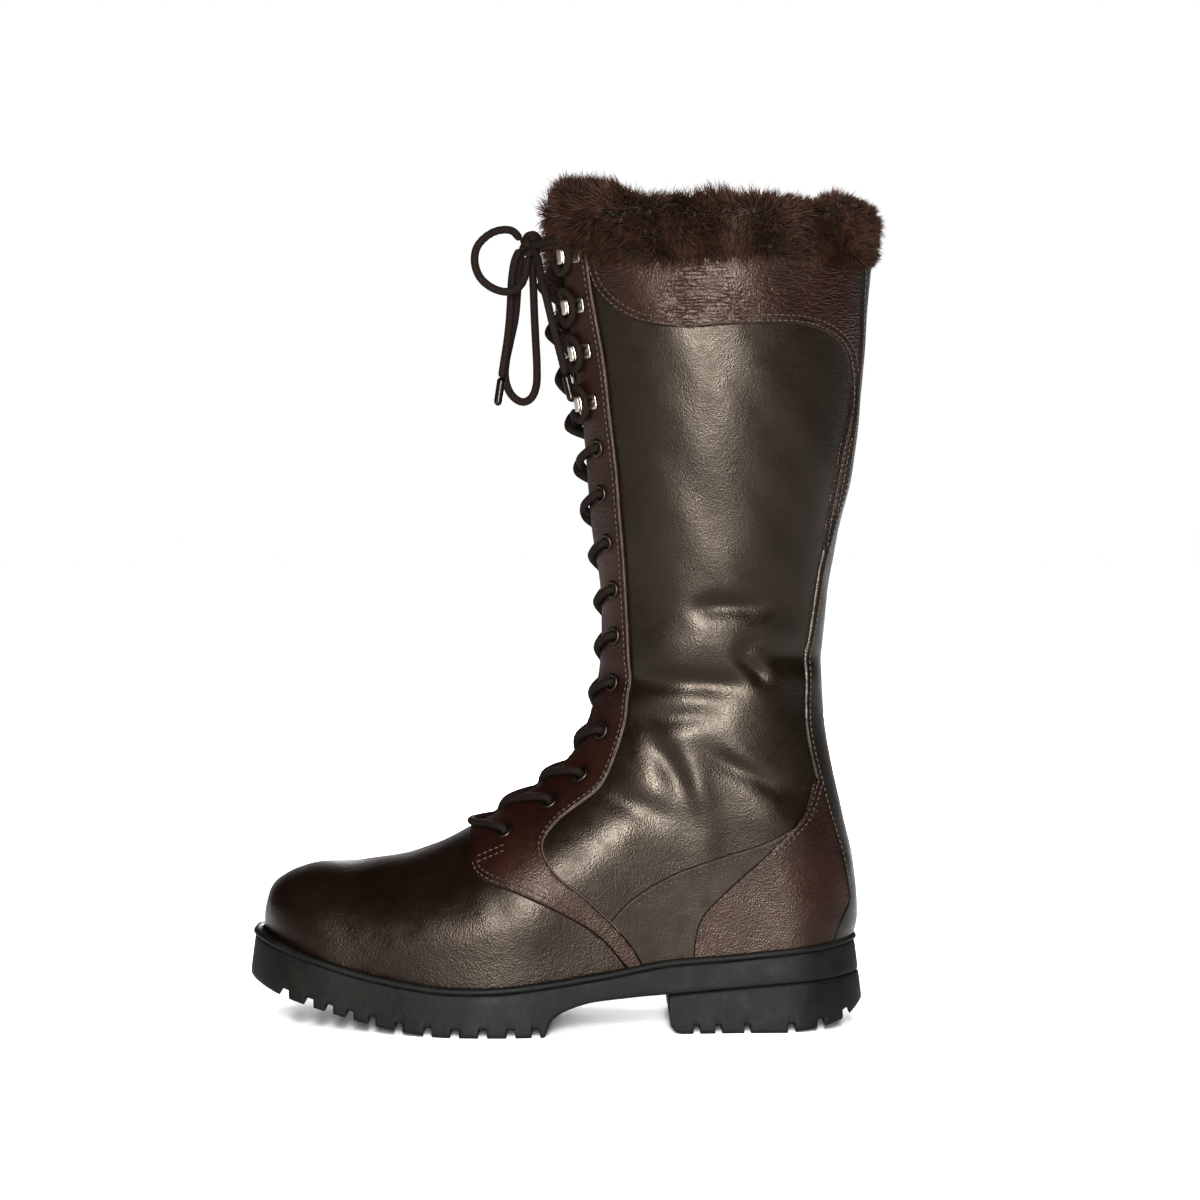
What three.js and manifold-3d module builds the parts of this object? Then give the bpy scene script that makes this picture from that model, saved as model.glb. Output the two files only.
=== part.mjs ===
// A tall lace-up winter boot (left foot), fur lined, on a lugged rubber sole unit with a block heel.
//
// Units are millimetres, +Z is up, the toe points to -X and the outer (lateral) side of the boot faces -Y.
// The upper is one smooth body. Its side view is ruled by section lines that fan from the feather edge and the
// back of the boot to the vamp, instep and front of the shaft. At every point (x, z) of the side view a half
// width says how far the body reaches to each side. Leather, stiffeners, lining and tongue are layers of that
// body at different depths, and the leather layer is cut into its panels along the seams.
import * as THREE from "three";
import { mergeVertices } from "three/addons/utils/BufferGeometryUtils.js";
import Module from "manifold-3d";

const wasm = await Module();
wasm.setup();

// ---------------------------------------------------------------- driving dimensions

const GAP = 0.3; // clearance between neighbouring pieces
const SEAM_STEPS = 8; // straight pieces in one seam

// Section lines of the upper, toe to top: the lower or rear end [x, z], the upper or front end [x, z], and the
// depth over which the body rounds off at the front and at the back.
const SECTIONS = [
  { low: [-142.4, 44.5], high: [-142.6, 49], roundFront: 40, roundBack: 33 },
  { low: [-137, 43.5], high: [-141.8, 57.5], roundFront: 40, roundBack: 33 },
  { low: [-125, 39.5], high: [-137.5, 67.5], roundFront: 40, roundBack: 33 },
  { low: [-108, 34.5], high: [-121, 76], roundFront: 40, roundBack: 33 },
  { low: [-80, 27.6], high: [-90, 78.8], roundFront: 44, roundBack: 33 },
  { low: [-54, 23.8], high: [-62, 85], roundFront: 48, roundBack: 33 },
  { low: [-28, 23.8], high: [-40, 95.5], roundFront: 50, roundBack: 33 },
  { low: [0, 26.7], high: [-19, 108.5], roundFront: 50, roundBack: 33 },
  { low: [30, 30.9], high: [-4, 119], roundFront: 50, roundBack: 33 },
  { low: [62, 36], high: [6, 127.8], roundFront: 50, roundBack: 33 },
  { low: [95, 38.2], high: [12.3, 136.5], roundFront: 50, roundBack: 33 },
  { low: [122, 41], high: [16.3, 146.5], roundFront: 50, roundBack: 33 },
  { low: [140, 43.6], high: [19, 155], roundFront: 50, roundBack: 33 },
  { low: [146, 47], high: [20.5, 162], roundFront: 50, roundBack: 34 },
  { low: [146.3, 72], high: [21.8, 169], roundFront: 50, roundBack: 36 },
  { low: [141.5, 96], high: [22.7, 177], roundFront: 50, roundBack: 40 },
  { low: [135, 124], high: [23.1, 187], roundFront: 50, roundBack: 44 },
  { low: [130.2, 160], high: [22.9, 201], roundFront: 51, roundBack: 48 },
  { low: [131, 198], high: [21.6, 218], roundFront: 53, roundBack: 52 },
  { low: [137, 236], high: [16.6, 243], roundFront: 58, roundBack: 60 },
  { low: [145, 272], high: [12.2, 277], roundFront: 65, roundBack: 66 },
  { low: [149, 310], high: [6.8, 310], roundFront: 71, roundBack: 72 },
  { low: [152, 350], high: [-0.5, 347], roundFront: 75, roundBack: 76 },
  { low: [154.5, 386], high: [-6, 388], roundFront: 78, roundBack: 78 },
  { low: [156, 430], high: [-9, 432], roundFront: 78, roundBack: 78 },
];
const HEEL_SECTION = 13; // the section line that starts at the back corner of the heel
const BODY_HALF_LENGTH = 144.4; // half the length of the upper at its feather edge
const BODY_MIDDLE = 1.9; // x of its middle
// The section lines that the solids are built on, some of them between two lines, and the facets along one.
const BUILT_ON = [0, 1, 2, 3.3, 4.6, 6, 7.5, 9, 10.5, 12, 13, 14, 15, 16, 17, 18, 19, 20.3, 22, 24];
const FACETS = 8;

// Half widths of the foot by x, to the outer and to the inner side, and of the shaft by z.
const FOOT_OUTER = [[-142, 43], [-100, 45], [-60, 50], [-20, 51], [20, 45], [60, 39], [100, 36.5], [150, 36]];
const FOOT_INNER = [[-142, 43], [-100, 47], [-60, 49], [-20, 45], [20, 38.5], [60, 35], [100, 35], [150, 35]];
const SHAFT_HALF = [[60, 42], [110, 41], [160, 39.5], [200, 42], [250, 48], [300, 54], [350, 57.5], [430, 59]];
const SHAFT_STARTS = 70; // z where the foot's width begins to give way to the shaft's
const SHAFT_RULES = 150; // z above which only the shaft's width counts
const TOE_SWING = 7; // how far the toe is set over to the inner side
const TOE_SWING_FROM = -20; // x where that begins

// The upper edge of the welt and the underside of the sole, z by x.
const WELT_TOP = [
  [-150, 48.5], [-134.6, 43.5], [-114.5, 36.5], [-94.4, 30.5],
  [-74.4, 26.6], [-54, 23.8], [-34, 23.4], [-14, 24.8],
  [26, 30.2], [54.4, 35], [86.6, 37.4], [126.6, 41.5], [152, 45],
];
const WELT_HEIGHT = 3.2;
const SOLE_UNDER = [[-151, 27], [-127, 17], [-103, 9.5], [-80, 4], [-60, 1], [-48, 0]];
const SOLE_MARGIN_TOE = 5; // how far the sole stands out from the upper at its top edge
const SOLE_MARGIN_HEEL = 1.6;
const SOLE_FLARE = 0.13; // outward lean of the sole wall, per millimetre downward
const TREAD_REAR = -5; // x of the rear corner of the forefoot tread
const HEEL_BREAST = 55.5;
const HEEL_CORNER = 7; // radius of the lower front corner of the heel
const WAIST_UNDER = 17.5; // z of the waist's underside, mid way
const HEEL_BEVEL = [[112, 0], [136, 5], [151, 16]];
const HEEL_SPLIT = [[54, 18.5], [152, 26.5]]; // joint between heel block and sole, z at both ends
const LUG_DEPTH = 3.8;
const LUG_GROOVE = 4;
const HEEL_GROOVE = 3.2;
const TREAD_GROOVES = [-8.7, -20, -32.7, -45.3, -57.9, -71.5, -84.4, -95.4, -105.4, -114.4, -125]; // x of each
const HEEL_GROOVES = [68.6, 79.3, 93.2, 114.2, 126.5, 137.6];

// Depths of the layers below the outer surface.
const LEATHER = 2;
const STIFFENER = [2.3, 3.5];
const LINING = [3.8, 9];
const TONGUE_DEPTH = 8.4; // of its face under the facings
const TONGUE_SWELL = 3.5; // the same at the middle of its upper part
const SWELLS_FROM = 215; // z where it begins to swell forward
const SWELLS_OVER = 110;
const TONGUE_THICK = 4;
const TONGUE_POINTS = 6; // facets across it
const BOARD_THICK = 2.4;
const FOOTBED_THICK = 5;

const LEATHER_TOP = 388;
const THROAT = -36; // x where the vamp ends and the lacing gap begins
const LACING_HALF = [[185, 9], [245, 14.5], [300, 21], [LEATHER_TOP, 29]]; // half the gap between the facings
const TONGUE_HALF = [[130, 29], [200, 25], [245, 28], [300, 34], [LEATHER_TOP, 41]]; // half its width by z
const TONGUE_CLEAR = 1;
const TONGUE_BASE = -44; // x of its sewn end, under the vamp
const TONGUE_LOW = 93; // z of it
const TONGUE_TOP = 396;

const EYELET_ROWS = 10;
const HOOK_ROWS = 4;
const ROW_PITCH = 23;
const FIRST_ROW_X = -25.1; // x of the lowest eyelet
const ROW_INSET = [8.5, 6]; // eyelet centre from the edge of the facing, in the side view, low down and high up
const EYELET_BORE = 2.5;
const HOLE_RADIUS = 3.9;
const EYELET_FLANGE = 4.4;
const LACE_RADIUS = 1.9;

const CUFF_OUT = 5; // how far the fur cuff stands out from the leather
const CUFF_IN = 11;
const CUFF = [
  [-30, 386], [14, 381], [30, 374], [58, 369], [100, 372], [140, 367], [170, 369],
  [170, 397], [152, 402], [120, 405], [70, 404], [40, 405], [4, 411], [-30, 410],
];

const BOARD = [0.3, 2.7]; // height of its two faces above the feather edge
const FOOTBED = [3, 8];
const PUFF = [[-170, 10], [-80, 10], [-88, 60], [-98, 130], [-170, 130]];
const HEEL_CUP = [[88, 10], [170, 10], [170, 108], [124, 108], [108, 88], [95, 62]];
const LINING_TOP = 362;
const TONGUE_FUR_LOW = 300;
const TONGUE_FUR_TOP = 405;
const TONGUE_FUR_THICK = 6;

const FLARE_FROM = 40; // z where the margins of the sole are measured
const WELT_PROUD = 1;
const SOLE_POINTS = 18;
const SHANK_X = [-5, 88];
const SHANK_HALF = 7;
const SHANK_THICK = 1.6;

const HOOK_THICK = 0.9;
const HOOK_WIDTH = 7.4;
const LACE_UNDER = 4.9; // depth of the lace's centre line under a facing
const LACE_OVER = 3.5; // height of it above an eyelet
const LACE_ON_HOOK = 3.5;
const LACE_CLEAR = 1.2; // its clearance to the middle of the tongue
const LACE_EDGE = 3; // height of it above the edge of a facing that it passes over
const LACE_BAR = 2; // height of the lowest bar above the middle of the front
const AROUND_HOOK = [[-7, -9], [-2.9, -5.2], [-2.9, 5.2], [-7, 9]]; // its way round a hook, away and up
const AGLET_LENGTH = 14;

// The knot in front of the tongue, and the routes of the two ends of the lace from it.
const KNOT = [-10.5, 0, 380];
const KNOT_HALF = [5, 7.5, 6];
const LOOSE_LACE = {
  loop_outer: [
    [-15.9, -2, 382.2], [-20, -4.5, 386.2], [-26, -6.5, 386.4], [-32, -8, 383.6], [-37, -9.5, 377.8],
    [-38, -10.5, 370.6], [-35.5, -11, 363.4], [-29.5, -10.5, 358.2],
    [-22.5, -9.5, 356.4], [-16.5, -8, 358.8],
    [-13.6, -6.5, 364.5], [-12.8, -5.2, 370], [-12.2, -4.2, 373.9],
  ],
  loop_inner: [
    [-15.6, 4, 377], [-16.8, 5.5, 369], [-17.6, 6.5, 359], [-18.8, 7.2, 345], [-21.2, 8, 333.5],
    [-23.4, 8.5, 323], [-23.8, 8.8, 315.5], [-21.6, 9, 308.2],
    [-18, 9, 304.4], [-14.4, 9, 303.4], [-10.8, 8.8, 305.6],
    [-8.6, 8.4, 311], [-8.2, 7.8, 320], [-8.8, 7, 333], [-9.4, 6, 346], [-9.8, 4.8, 358], [-10.2, 3.8, 367],
    [-10.4, 3.4, 373.2],
  ],
  end_outer: [
    [-7.8, -6.8, 374.4], [-6.8, -11.5, 369], [-5.6, -17, 362],
    [-3.6, -21.5, 355], [-1.9, -23.4, 348], [1, -25, 336],
    [4.2, -27.4, 324], [6.2, -28.6, 315.7],
  ],
  end_inner: [
    [-16.4, -0.6, 377.6], [-18.8, -0.4, 372], [-20.2, 0, 364],
    [-20.8, 0.6, 354], [-21.4, 1.2, 344], [-22.6, 1.8, 333],
    [-24.2, 2.2, 323], [-25.4, 2.4, 315],
  ],
};

// ---------------------------------------------------------------- materials

const LOOK = {
  vampLeather: { color: 0x33251c, roughness: 0.34, metalness: 0 },
  trimLeather: { color: 0x3a1e18, roughness: 0.38, metalness: 0 },
  shaftLeather: { color: 0x2e261f, roughness: 0.3, metalness: 0 },
  tongueLeather: { color: 0x241712, roughness: 0.5, metalness: 0 },
  fur: { color: 0x3b2a22, roughness: 0.95, metalness: 0 },
  lace: { color: 0x2a1a14, roughness: 0.85, metalness: 0 },
  rubber: { color: 0x1c1c1b, roughness: 0.75, metalness: 0 },
  blackMetal: { color: 0x2c2622, roughness: 0.35, metalness: 0.8 },
  nickel: { color: 0xb9b5ab, roughness: 0.25, metalness: 1 },
  steel: { color: 0x8b8f92, roughness: 0.35, metalness: 1 },
  board: { color: 0x8f7b5e, roughness: 0.9, metalness: 0 },
  felt: { color: 0x4a3d35, roughness: 0.95, metalness: 0 },
  stiffener: { color: 0xb9ae98, roughness: 0.8, metalness: 0 },
  aglet: { color: 0x1a1513, roughness: 0.3, metalness: 0 },
};

// ---------------------------------------------------------------- small helpers

const clamp01 = (v) => Math.min(1, Math.max(0, v));
const lerp = (a, b, t) => a + (b - a) * t;
const smooth = (v) => clamp01(v) ** 2 * (3 - 2 * clamp01(v));
const range = (n) => Array.from({ length: n }, (_, i) => i);

// y by x through knots [x, y], rounded between them.
function through(knots) {
  const slope = knots.map((_, i) => {
    const a = knots[Math.max(i - 1, 0)];
    const b = knots[Math.min(i + 1, knots.length - 1)];
    return (b[1] - a[1]) / (b[0] - a[0]);
  });
  return (x) => {
    if (x <= knots[0][0]) return knots[0][1];
    if (x >= knots.at(-1)[0]) return knots.at(-1)[1];
    const i = knots.findIndex((k) => k[0] > x) - 1;
    const [x0, y0] = knots[i];
    const [x1, y1] = knots[i + 1];
    const h = x1 - x0;
    const t = (x - x0) / h;
    const a = (2 * t ** 3 - 3 * t ** 2 + 1) * y0 + (3 * t ** 2 - 2 * t ** 3) * y1;
    return a + (t ** 3 - 2 * t ** 2 + t) * h * slope[i] + (t ** 3 - t ** 2) * h * slope[i + 1];
  };
}

// Points [x, z] along a smooth seam through the given points.
function seam(points, steps = SEAM_STEPS) {
  const curve = new THREE.SplineCurve(points.map((p) => new THREE.Vector2(...p)));
  return curve.getSpacedPoints(steps).map((p) => [p.x, p.y]);
}

// ---------------------------------------------------------------- solids

function solidOf(geometry) {
  const bare = new THREE.BufferGeometry().setAttribute("position", geometry.getAttribute("position"));
  if (geometry.index) bare.setIndex(geometry.index);
  const merged = mergeVertices(bare, 1e-4);
  const corners = [];
  const all = merged.index.array;
  for (let i = 0; i < all.length; i += 3) {
    const [a, b, c] = [all[i], all[i + 1], all[i + 2]];
    if (a !== b && b !== c && c !== a) corners.push(a, b, c);
  }
  return new wasm.Manifold(
    new wasm.Mesh({
      numProp: 3,
      vertProperties: merged.attributes.position.array,
      triVerts: new Uint32Array(corners),
    }),
  );
}

function geometryOf(solid) {
  const made = solid.getMesh();
  const position = new Float32Array(made.numVert * 3);
  for (const i of range(made.numVert))
    position.set(made.vertProperties.subarray(i * made.numProp, i * made.numProp + 3), i * 3);
  const geometry = new THREE.BufferGeometry()
    .setAttribute("position", new THREE.BufferAttribute(position, 3))
    .setIndex(new THREE.BufferAttribute(made.triVerts, 1));
  geometry.computeVertexNormals();
  return geometry;
}

const shapeOf = (points) => new THREE.Shape(points.map((p) => new THREE.Vector2(...p)));

// A side-view outline [x, z] run right through the boot, between two values of y.
function sidePrism(outline, yLow = -90, yHigh = 90) {
  const geometry = new THREE.ExtrudeGeometry(shapeOf(outline), { depth: yHigh - yLow, bevelEnabled: false });
  return solidOf(geometry.rotateX(Math.PI / 2).translate(0, yHigh, 0));
}

// A front-view outline [y, z] run along x.
function frontPrism(outline, xLow, xHigh) {
  const geometry = new THREE.ExtrudeGeometry(shapeOf(outline), { depth: xHigh - xLow, bevelEnabled: false });
  const turn = new THREE.Matrix4().makeBasis(
    new THREE.Vector3(0, 1, 0),
    new THREE.Vector3(0, 0, 1),
    new THREE.Vector3(1, 0, 0),
  );
  return solidOf(geometry.applyMatrix4(turn).translate(xLow, 0, 0));
}

// A closed outline moved outward by a distance that may change with x.
function grown(outline, distance) {
  const area = outline.reduce((sum, p, i) => {
    const q = outline[(i + 1) % outline.length];
    return sum + p[0] * q[1] - q[0] * p[1];
  }, 0);
  const n = outline.length;
  return outline.map((p, i) => {
    const before = outline[(i - 1 + n) % n];
    const after = outline[(i + 1) % n];
    const a = new THREE.Vector2(p[0] - before[0], p[1] - before[1]).normalize();
    const b = new THREE.Vector2(after[0] - p[0], after[1] - p[1]).normalize();
    const out = new THREE.Vector2(a.y + b.y, -a.x - b.x).normalize().multiplyScalar(Math.sign(area));
    const by = typeof distance === "function" ? distance(p[0]) : distance;
    return [p[0] + out.x * by, p[1] + out.y * by];
  });
}

// A closed body from rings of equal length, each a closed loop of points, with flat ends.
function loft(rings) {
  const n = rings[0].length;
  const points = rings.flat();
  const middle = (ring) => [0, 1, 2].map((k) => ring.reduce((sum, p) => sum + p[k], 0) / n);
  const first = points.push(middle(rings[0])) - 1;
  const last = points.push(middle(rings.at(-1))) - 1;
  const index = [];
  for (const i of range(rings.length - 1))
    for (const j of range(n)) {
      const k = (j + 1) % n;
      const [a, b, c, d] = [i * n + j, i * n + k, (i + 1) * n + k, (i + 1) * n + j];
      index.push(a, b, c, a, c, d);
    }
  for (const j of range(n)) {
    const k = (j + 1) % n;
    index.push(first, k, j);
    index.push(last, (rings.length - 1) * n + j, (rings.length - 1) * n + k);
  }
  const geometry = new THREE.BufferGeometry()
    .setAttribute("position", new THREE.Float32BufferAttribute(points.flat(), 3))
    .setIndex(index);
  const solid = solidOf(geometry);
  if (solid.volume() >= 0) return solid;
  for (let i = 0; i < index.length; i += 3) [index[i], index[i + 1]] = [index[i + 1], index[i]];
  return solidOf(geometry.setIndex(index));
}

// ---------------------------------------------------------------- the body of the upper

const sectionCurve = (pick) =>
  new THREE.CatmullRomCurve3(SECTIONS.map((s) => new THREE.Vector3(...pick(s))), false, "centripetal");
const lowCurve = sectionCurve((s) => [...s.low, 0]);
const highCurve = sectionCurve((s) => [...s.high, 0]);
const LAST = SECTIONS.length - 1;

// The front line runs from the toe to the top, and the back line from the heel to the top.
const outward = (curve, t, turn) => {
  const along = curve.getTangent(t);
  return [-along.y * turn, along.x * turn];
};
function line(curve, turn, roundName, from) {
  const steps = 8 * (LAST - from);
  return range(steps + 1).map((i) => {
    const s = from + ((LAST - from) * i) / steps;
    const k = Math.min(Math.floor(s), LAST - 1);
    const p = curve.getPoint(s / LAST);
    return { x: p.x, z: p.y, round: lerp(SECTIONS[k][roundName], SECTIONS[k + 1][roundName], s - k) };
  });
}
const frontLine = line(highCurve, 1, "roundFront", 0);
const backLine = line(lowCurve, -1, "roundBack", HEEL_SECTION);
frontLine.unshift({ ...frontLine[0], z: frontLine[0].z - 30 });
backLine.unshift({ ...backLine[0], z: backLine[0].z - 30 });

// Distance from [x, z] to a line, 0 when outside it, and the rounding depth there.
function nearest(points, turn, x, z) {
  let best = { away: Infinity, round: 1, outside: false };
  for (const i of range(points.length - 1)) {
    const [a, b] = [points[i], points[i + 1]];
    const [dx, dz] = [b.x - a.x, b.z - a.z];
    const t = clamp01(((x - a.x) * dx + (z - a.z) * dz) / (dx * dx + dz * dz));
    const away = Math.hypot(x - a.x - dx * t, z - a.z - dz * t);
    const outside = (dx * (z - a.z) - dz * (x - a.x)) * turn > 0;
    if (away < best.away) best = { away, round: lerp(a.round, b.round, t), outside };
  }
  return { away: best.outside ? 0 : best.away, round: best.round };
}

const footOuter = through(FOOT_OUTER);
const footInner = through(FOOT_INNER);
const shaftHalf = through(SHAFT_HALF);
const weltTop = through(WELT_TOP);
const soleUnder = through(SOLE_UNDER);
const quarterRound = (v) => Math.sqrt(1 - (1 - clamp01(v)) ** 2);

// Half width of the body at [x, z], at a depth below its outer surface. side is -1 outer, 1 inner.
function halfWidth(x, z, side, depth = 0) {
  const foot = (side < 0 ? footOuter : footInner)(x);
  const full = lerp(foot, shaftHalf(z), smooth((z - SHAFT_STARTS) / (SHAFT_RULES - SHAFT_STARTS))) - depth;
  const front = nearest(frontLine, 1, x, z);
  const back = nearest(backLine, -1, x, z);
  const rounding = (near) => quarterRound((near.away - depth) / (near.round - depth));
  return full * rounding(front) * rounding(back);
}
const swing = (x, z) => {
  const low = 1 - smooth((z - SHAFT_STARTS - 20) / 60);
  return TOE_SWING * low * smooth((TOE_SWING_FROM - x) / 120);
};
const surfaceY = (x, z, side, depth = 0) => swing(x, z) + side * halfWidth(x, z, side, depth);

// A point of the outer surface at side-view place [x, z], and the outward direction there.
function surfaceAt([x, z], side, out = 0) {
  const step = 0.5;
  const dx = (surfaceY(x + step, z, side) - surfaceY(x - step, z, side)) / (2 * step);
  const dz = (surfaceY(x, z + step, side) - surfaceY(x, z - step, side)) / (2 * step);
  const normal = new THREE.Vector3(-dx * side, side, -dz * side).normalize();
  const point = new THREE.Vector3(x, surfaceY(x, z, side), z).addScaledVector(normal, out);
  return { point, normal };
}

// The body at a depth below the outer surface.
function body(depth) {
  return loft(
    BUILT_ON.map((s) => {
      const t = s / LAST;
      const [highOut, lowOut] = [outward(highCurve, t, 1), outward(lowCurve, t, -1)];
      const high = highCurve.getPoint(t);
      const low = lowCurve.getPoint(t);
      const inset = (BODY_HALF_LENGTH - depth) / BODY_HALF_LENGTH;
      const a =
        s <= HEEL_SECTION
          ? [BODY_MIDDLE + (low.x - BODY_MIDDLE) * inset, low.y - 8]
          : [low.x - lowOut[0] * depth, low.y - lowOut[1] * depth];
      const b = [high.x - highOut[0] * depth, high.y - highOut[1] * depth];
      const sidePoint = (j, side) => {
        const v = (1 - Math.cos((Math.PI * j) / FACETS)) / 2;
        const [x, z] = [lerp(a[0], b[0], v), lerp(a[1], b[1], v)];
        const closed = j === FACETS || (j === 0 && s > HEEL_SECTION - 0.5);
        return [x, closed ? swing(x, z) : surfaceY(x, z, side, depth), z];
      };
      const up = range(FACETS + 1).map((j) => sidePoint(j, -1));
      const down = range(FACETS).map((j) => sidePoint(FACETS - 1 - j, 1));
      return [...up, ...down];
    }),
  );
}

// The space above the sole unit, for trimming the upper to its feather edge.
const TRIM_X = [-160, 160];
const TRIM_STEPS = 16;
const spaceAbove = (lift, top = 500) => {
  const edge = range(TRIM_STEPS + 1).map((i) => {
    const x = lerp(...TRIM_X, i / TRIM_STEPS);
    return [x, weltTop(x) - WELT_HEIGHT + lift];
  });
  return sidePrism([...edge, [TRIM_X[1], top], [TRIM_X[0], top]]);
};
const layer = (outer, inner) => body(outer).subtract(body(inner));

// ---------------------------------------------------------------- seams of the leather, side view

const FACING_FRONT = -41;
const facingUnder = seam([[-41, 83], [-36.5, 75.1], [-15.3, 66.7], [5.8, 56.6], [22.7, 45.5], [36, 30]]);
const facingBack = seam(
  [
    [45, 31], [37, 43.8], [18.5, 63.2], [0.3, 78.7],
    [-4.4, 89.7], [2.9, 100.6], [23.2, 117.5], [33.7, 140.4],
    [37.4, 165.7], [37, 194.7], [33.6, 245.3], [29.6, 287.2],
    [25.4, 321.2], [19.5, 355], [14.6, LEATHER_TOP + 3],
  ],
  20,
);
const collarUnder = seam(
  [
    [12, 391], [19.7, 356.4], [36.3, 341.6], [59.5, 336.6],
    [88.3, 338], [124.5, 337], [138.9, 327.9], [143, 306.3],
    [136.3, 272.5], [129.6, 231],
  ],
  16,
);
const backstayEdge = seam(
  [
    [148, 391], [147.5, 338.3], [144.6, 297], [139, 260],
    [129.6, 226], [123.5, 188.2], [121.8, 165.5], [122.3, 143],
    [129, 112.9], [138.7, 81.3], [142, 61],
  ],
  18,
);
const backstayFoot = seam([[142, 61], [137.2, 51.7], [134, 42.6], [132, 20]], 3);
const counterFront = seam([[126, 121], [120.7, 105.9], [104.7, 87.7], [82.6, 67.6], [70, 53], [66, 20]]);
const quarterTop = seam([
  [127, 112], [118.5, 101.5], [104.4, 92.5], [80.5, 84.5], [56.6, 75.9], [36.5, 63.5], [24, 50],
]);
// A line within the facing, from its foot to its top.
const facingMiddle = [
  [24, 50], [8, 66], [-12, 80], [-14, 92], [-3, 105],
  [14, 119], [25, 135], [29, 160], [29.5, 190], [27, 240],
  [22, 290], [18, 325], [13.5, 350], [9.5, 391],
];

const OUTLINES = {
  facing: [[FACING_FRONT, 391], ...facingUnder, [40, 18], [50, 18], ...facingBack],
  backstay: [...backstayEdge, ...backstayFoot.slice(1), [170, 20], [170, 391]],
  collar: [...collarUnder, [170, 226], [170, 391]],
  counter: [...counterFront, [170, 20], [170, 121]],
  quarter: [...quarterTop, [40, 30], [42, 18], [135, 18]],
  shaft: [...quarterTop.slice(0, -1), ...facingMiddle, [170, 391], [170, 112]],
  vamp: [[-170, 10], [-170, 130], [THROAT, 130], [THROAT, 74], ...facingUnder.slice(2), [38, 10]],
};
// Each panel gives way to the panels that are stitched over it.
const STITCHED_OVER = {
  facing: [],
  backstay: [],
  collar: ["facing", "backstay"],
  counter: ["backstay"],
  quarter: ["facing", "counter", "backstay"],
  shaft: ["facing", "backstay", "collar", "counter"],
  vamp: ["facing"],
};

// ---------------------------------------------------------------- lacing gap and rows

const lacingHalf = through(LACING_HALF);
const tongueHalf = through(TONGUE_HALF);
const ROUGHLY_MIDDLE = 75; // x between the front and back walls of the shaft
const mirrored = (half) => [...half, ...half.map(([y, z]) => [-y, z]).reverse()];
// A front-view outline made of half widths by z, and widened.
const frontOutline = (knots, extra) => {
  const half = [[knots[0][1], 60], ...knots.map(([z, y]) => [y, z]), [knots.at(-1)[1], 440]];
  return mirrored(half.map(([y, z]) => [y + extra, z]));
};
const lacingGap = (extra) => frontPrism(frontOutline(LACING_HALF, extra), -150, ROUGHLY_MIDDLE);
const tongueSpace = (grow) => frontPrism(frontOutline(TONGUE_HALF, grow), TONGUE_BASE - grow, ROUGHLY_MIDDLE);

// The side-view place on the facing at a distance from its edge, for each row of eyelets and hooks.
function edgeOfFacing(z) {
  const inside = (x) => halfWidth(x, z, -1) > lacingHalf(z);
  let x = -60;
  while (!inside(x)) x += 0.25;
  return [x, z];
}
function lacingRows() {
  const edge = range(150).map((i) => edgeOfFacing(84 + i * 2));
  const inset = edge.slice(1, -1).map((p, i) => {
    const [dx, dz] = [edge[i + 2][0] - edge[i][0], edge[i + 2][1] - edge[i][1]];
    const long = Math.hypot(dx, dz);
    const by = lerp(...ROW_INSET, smooth((p[1] - 120) / 60));
    return [p[0] + (dz / long) * by, p[1] - (dx / long) * by, p];
  });
  const first = inset.findIndex((p) => p[0] > FIRST_ROW_X);
  const rows = [];
  let along = 0;
  for (let i = first; i < inset.length && rows.length < EYELET_ROWS + HOOK_ROWS; i++) {
    if (i > first) along += Math.hypot(inset[i][0] - inset[i - 1][0], inset[i][1] - inset[i - 1][1]);
    if (along >= rows.length * ROW_PITCH) rows.push({ place: inset[i].slice(0, 2), edge: inset[i][2] });
  }
  return rows;
}
const rows = lacingRows();
if (rows.length < EYELET_ROWS + HOOK_ROWS) throw new Error("the facing is too short for its rows");

// The centre line of the front at height z, moved out by a distance.
function onMiddle(z, out) {
  let [low, high] = [0, 1];
  while (high - low > 1e-5) {
    const t = (low + high) / 2;
    if (highCurve.getPoint(t).y < z) low = t;
    else high = t;
  }
  const p = highCurve.getPoint(low);
  const way = outward(highCurve, low, 1);
  return new THREE.Vector3(p.x + way[0] * out, 0, p.y + way[1] * out);
}

// The same for a point at distance |y| from the centre line, on the side of y's sign.
function onFront(y, z, out) {
  const side = Math.sign(y);
  let [low, high] = [-150, ROUGHLY_MIDDLE];
  while (high - low > 0.01) {
    const x = (low + high) / 2;
    if (halfWidth(x, z, side) < Math.abs(y)) low = x;
    else high = x;
  }
  return surfaceAt([high, z], side, out).point;
}

const aboveLevel = (z) => [[-200, z], [200, z], [200, 500], [-200, 500]];
const WHOLE_VIEW = aboveLevel(0);

// ---------------------------------------------------------------- the model

const boot = new THREE.Group();
const materials = Object.fromEntries(
  Object.entries(LOOK).map(([name, look]) => [name, new THREE.MeshStandardMaterial(look)]),
);
function add(name, geometry, material) {
  const mesh = new THREE.Mesh(geometry, materials[material]);
  mesh.name = name;
  boot.add(mesh);
  return mesh;
}
const addSolid = (name, solid, material) => add(name, geometryOf(solid), material);
const SIDES = [["outer", -1], ["inner", 1]];

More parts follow.
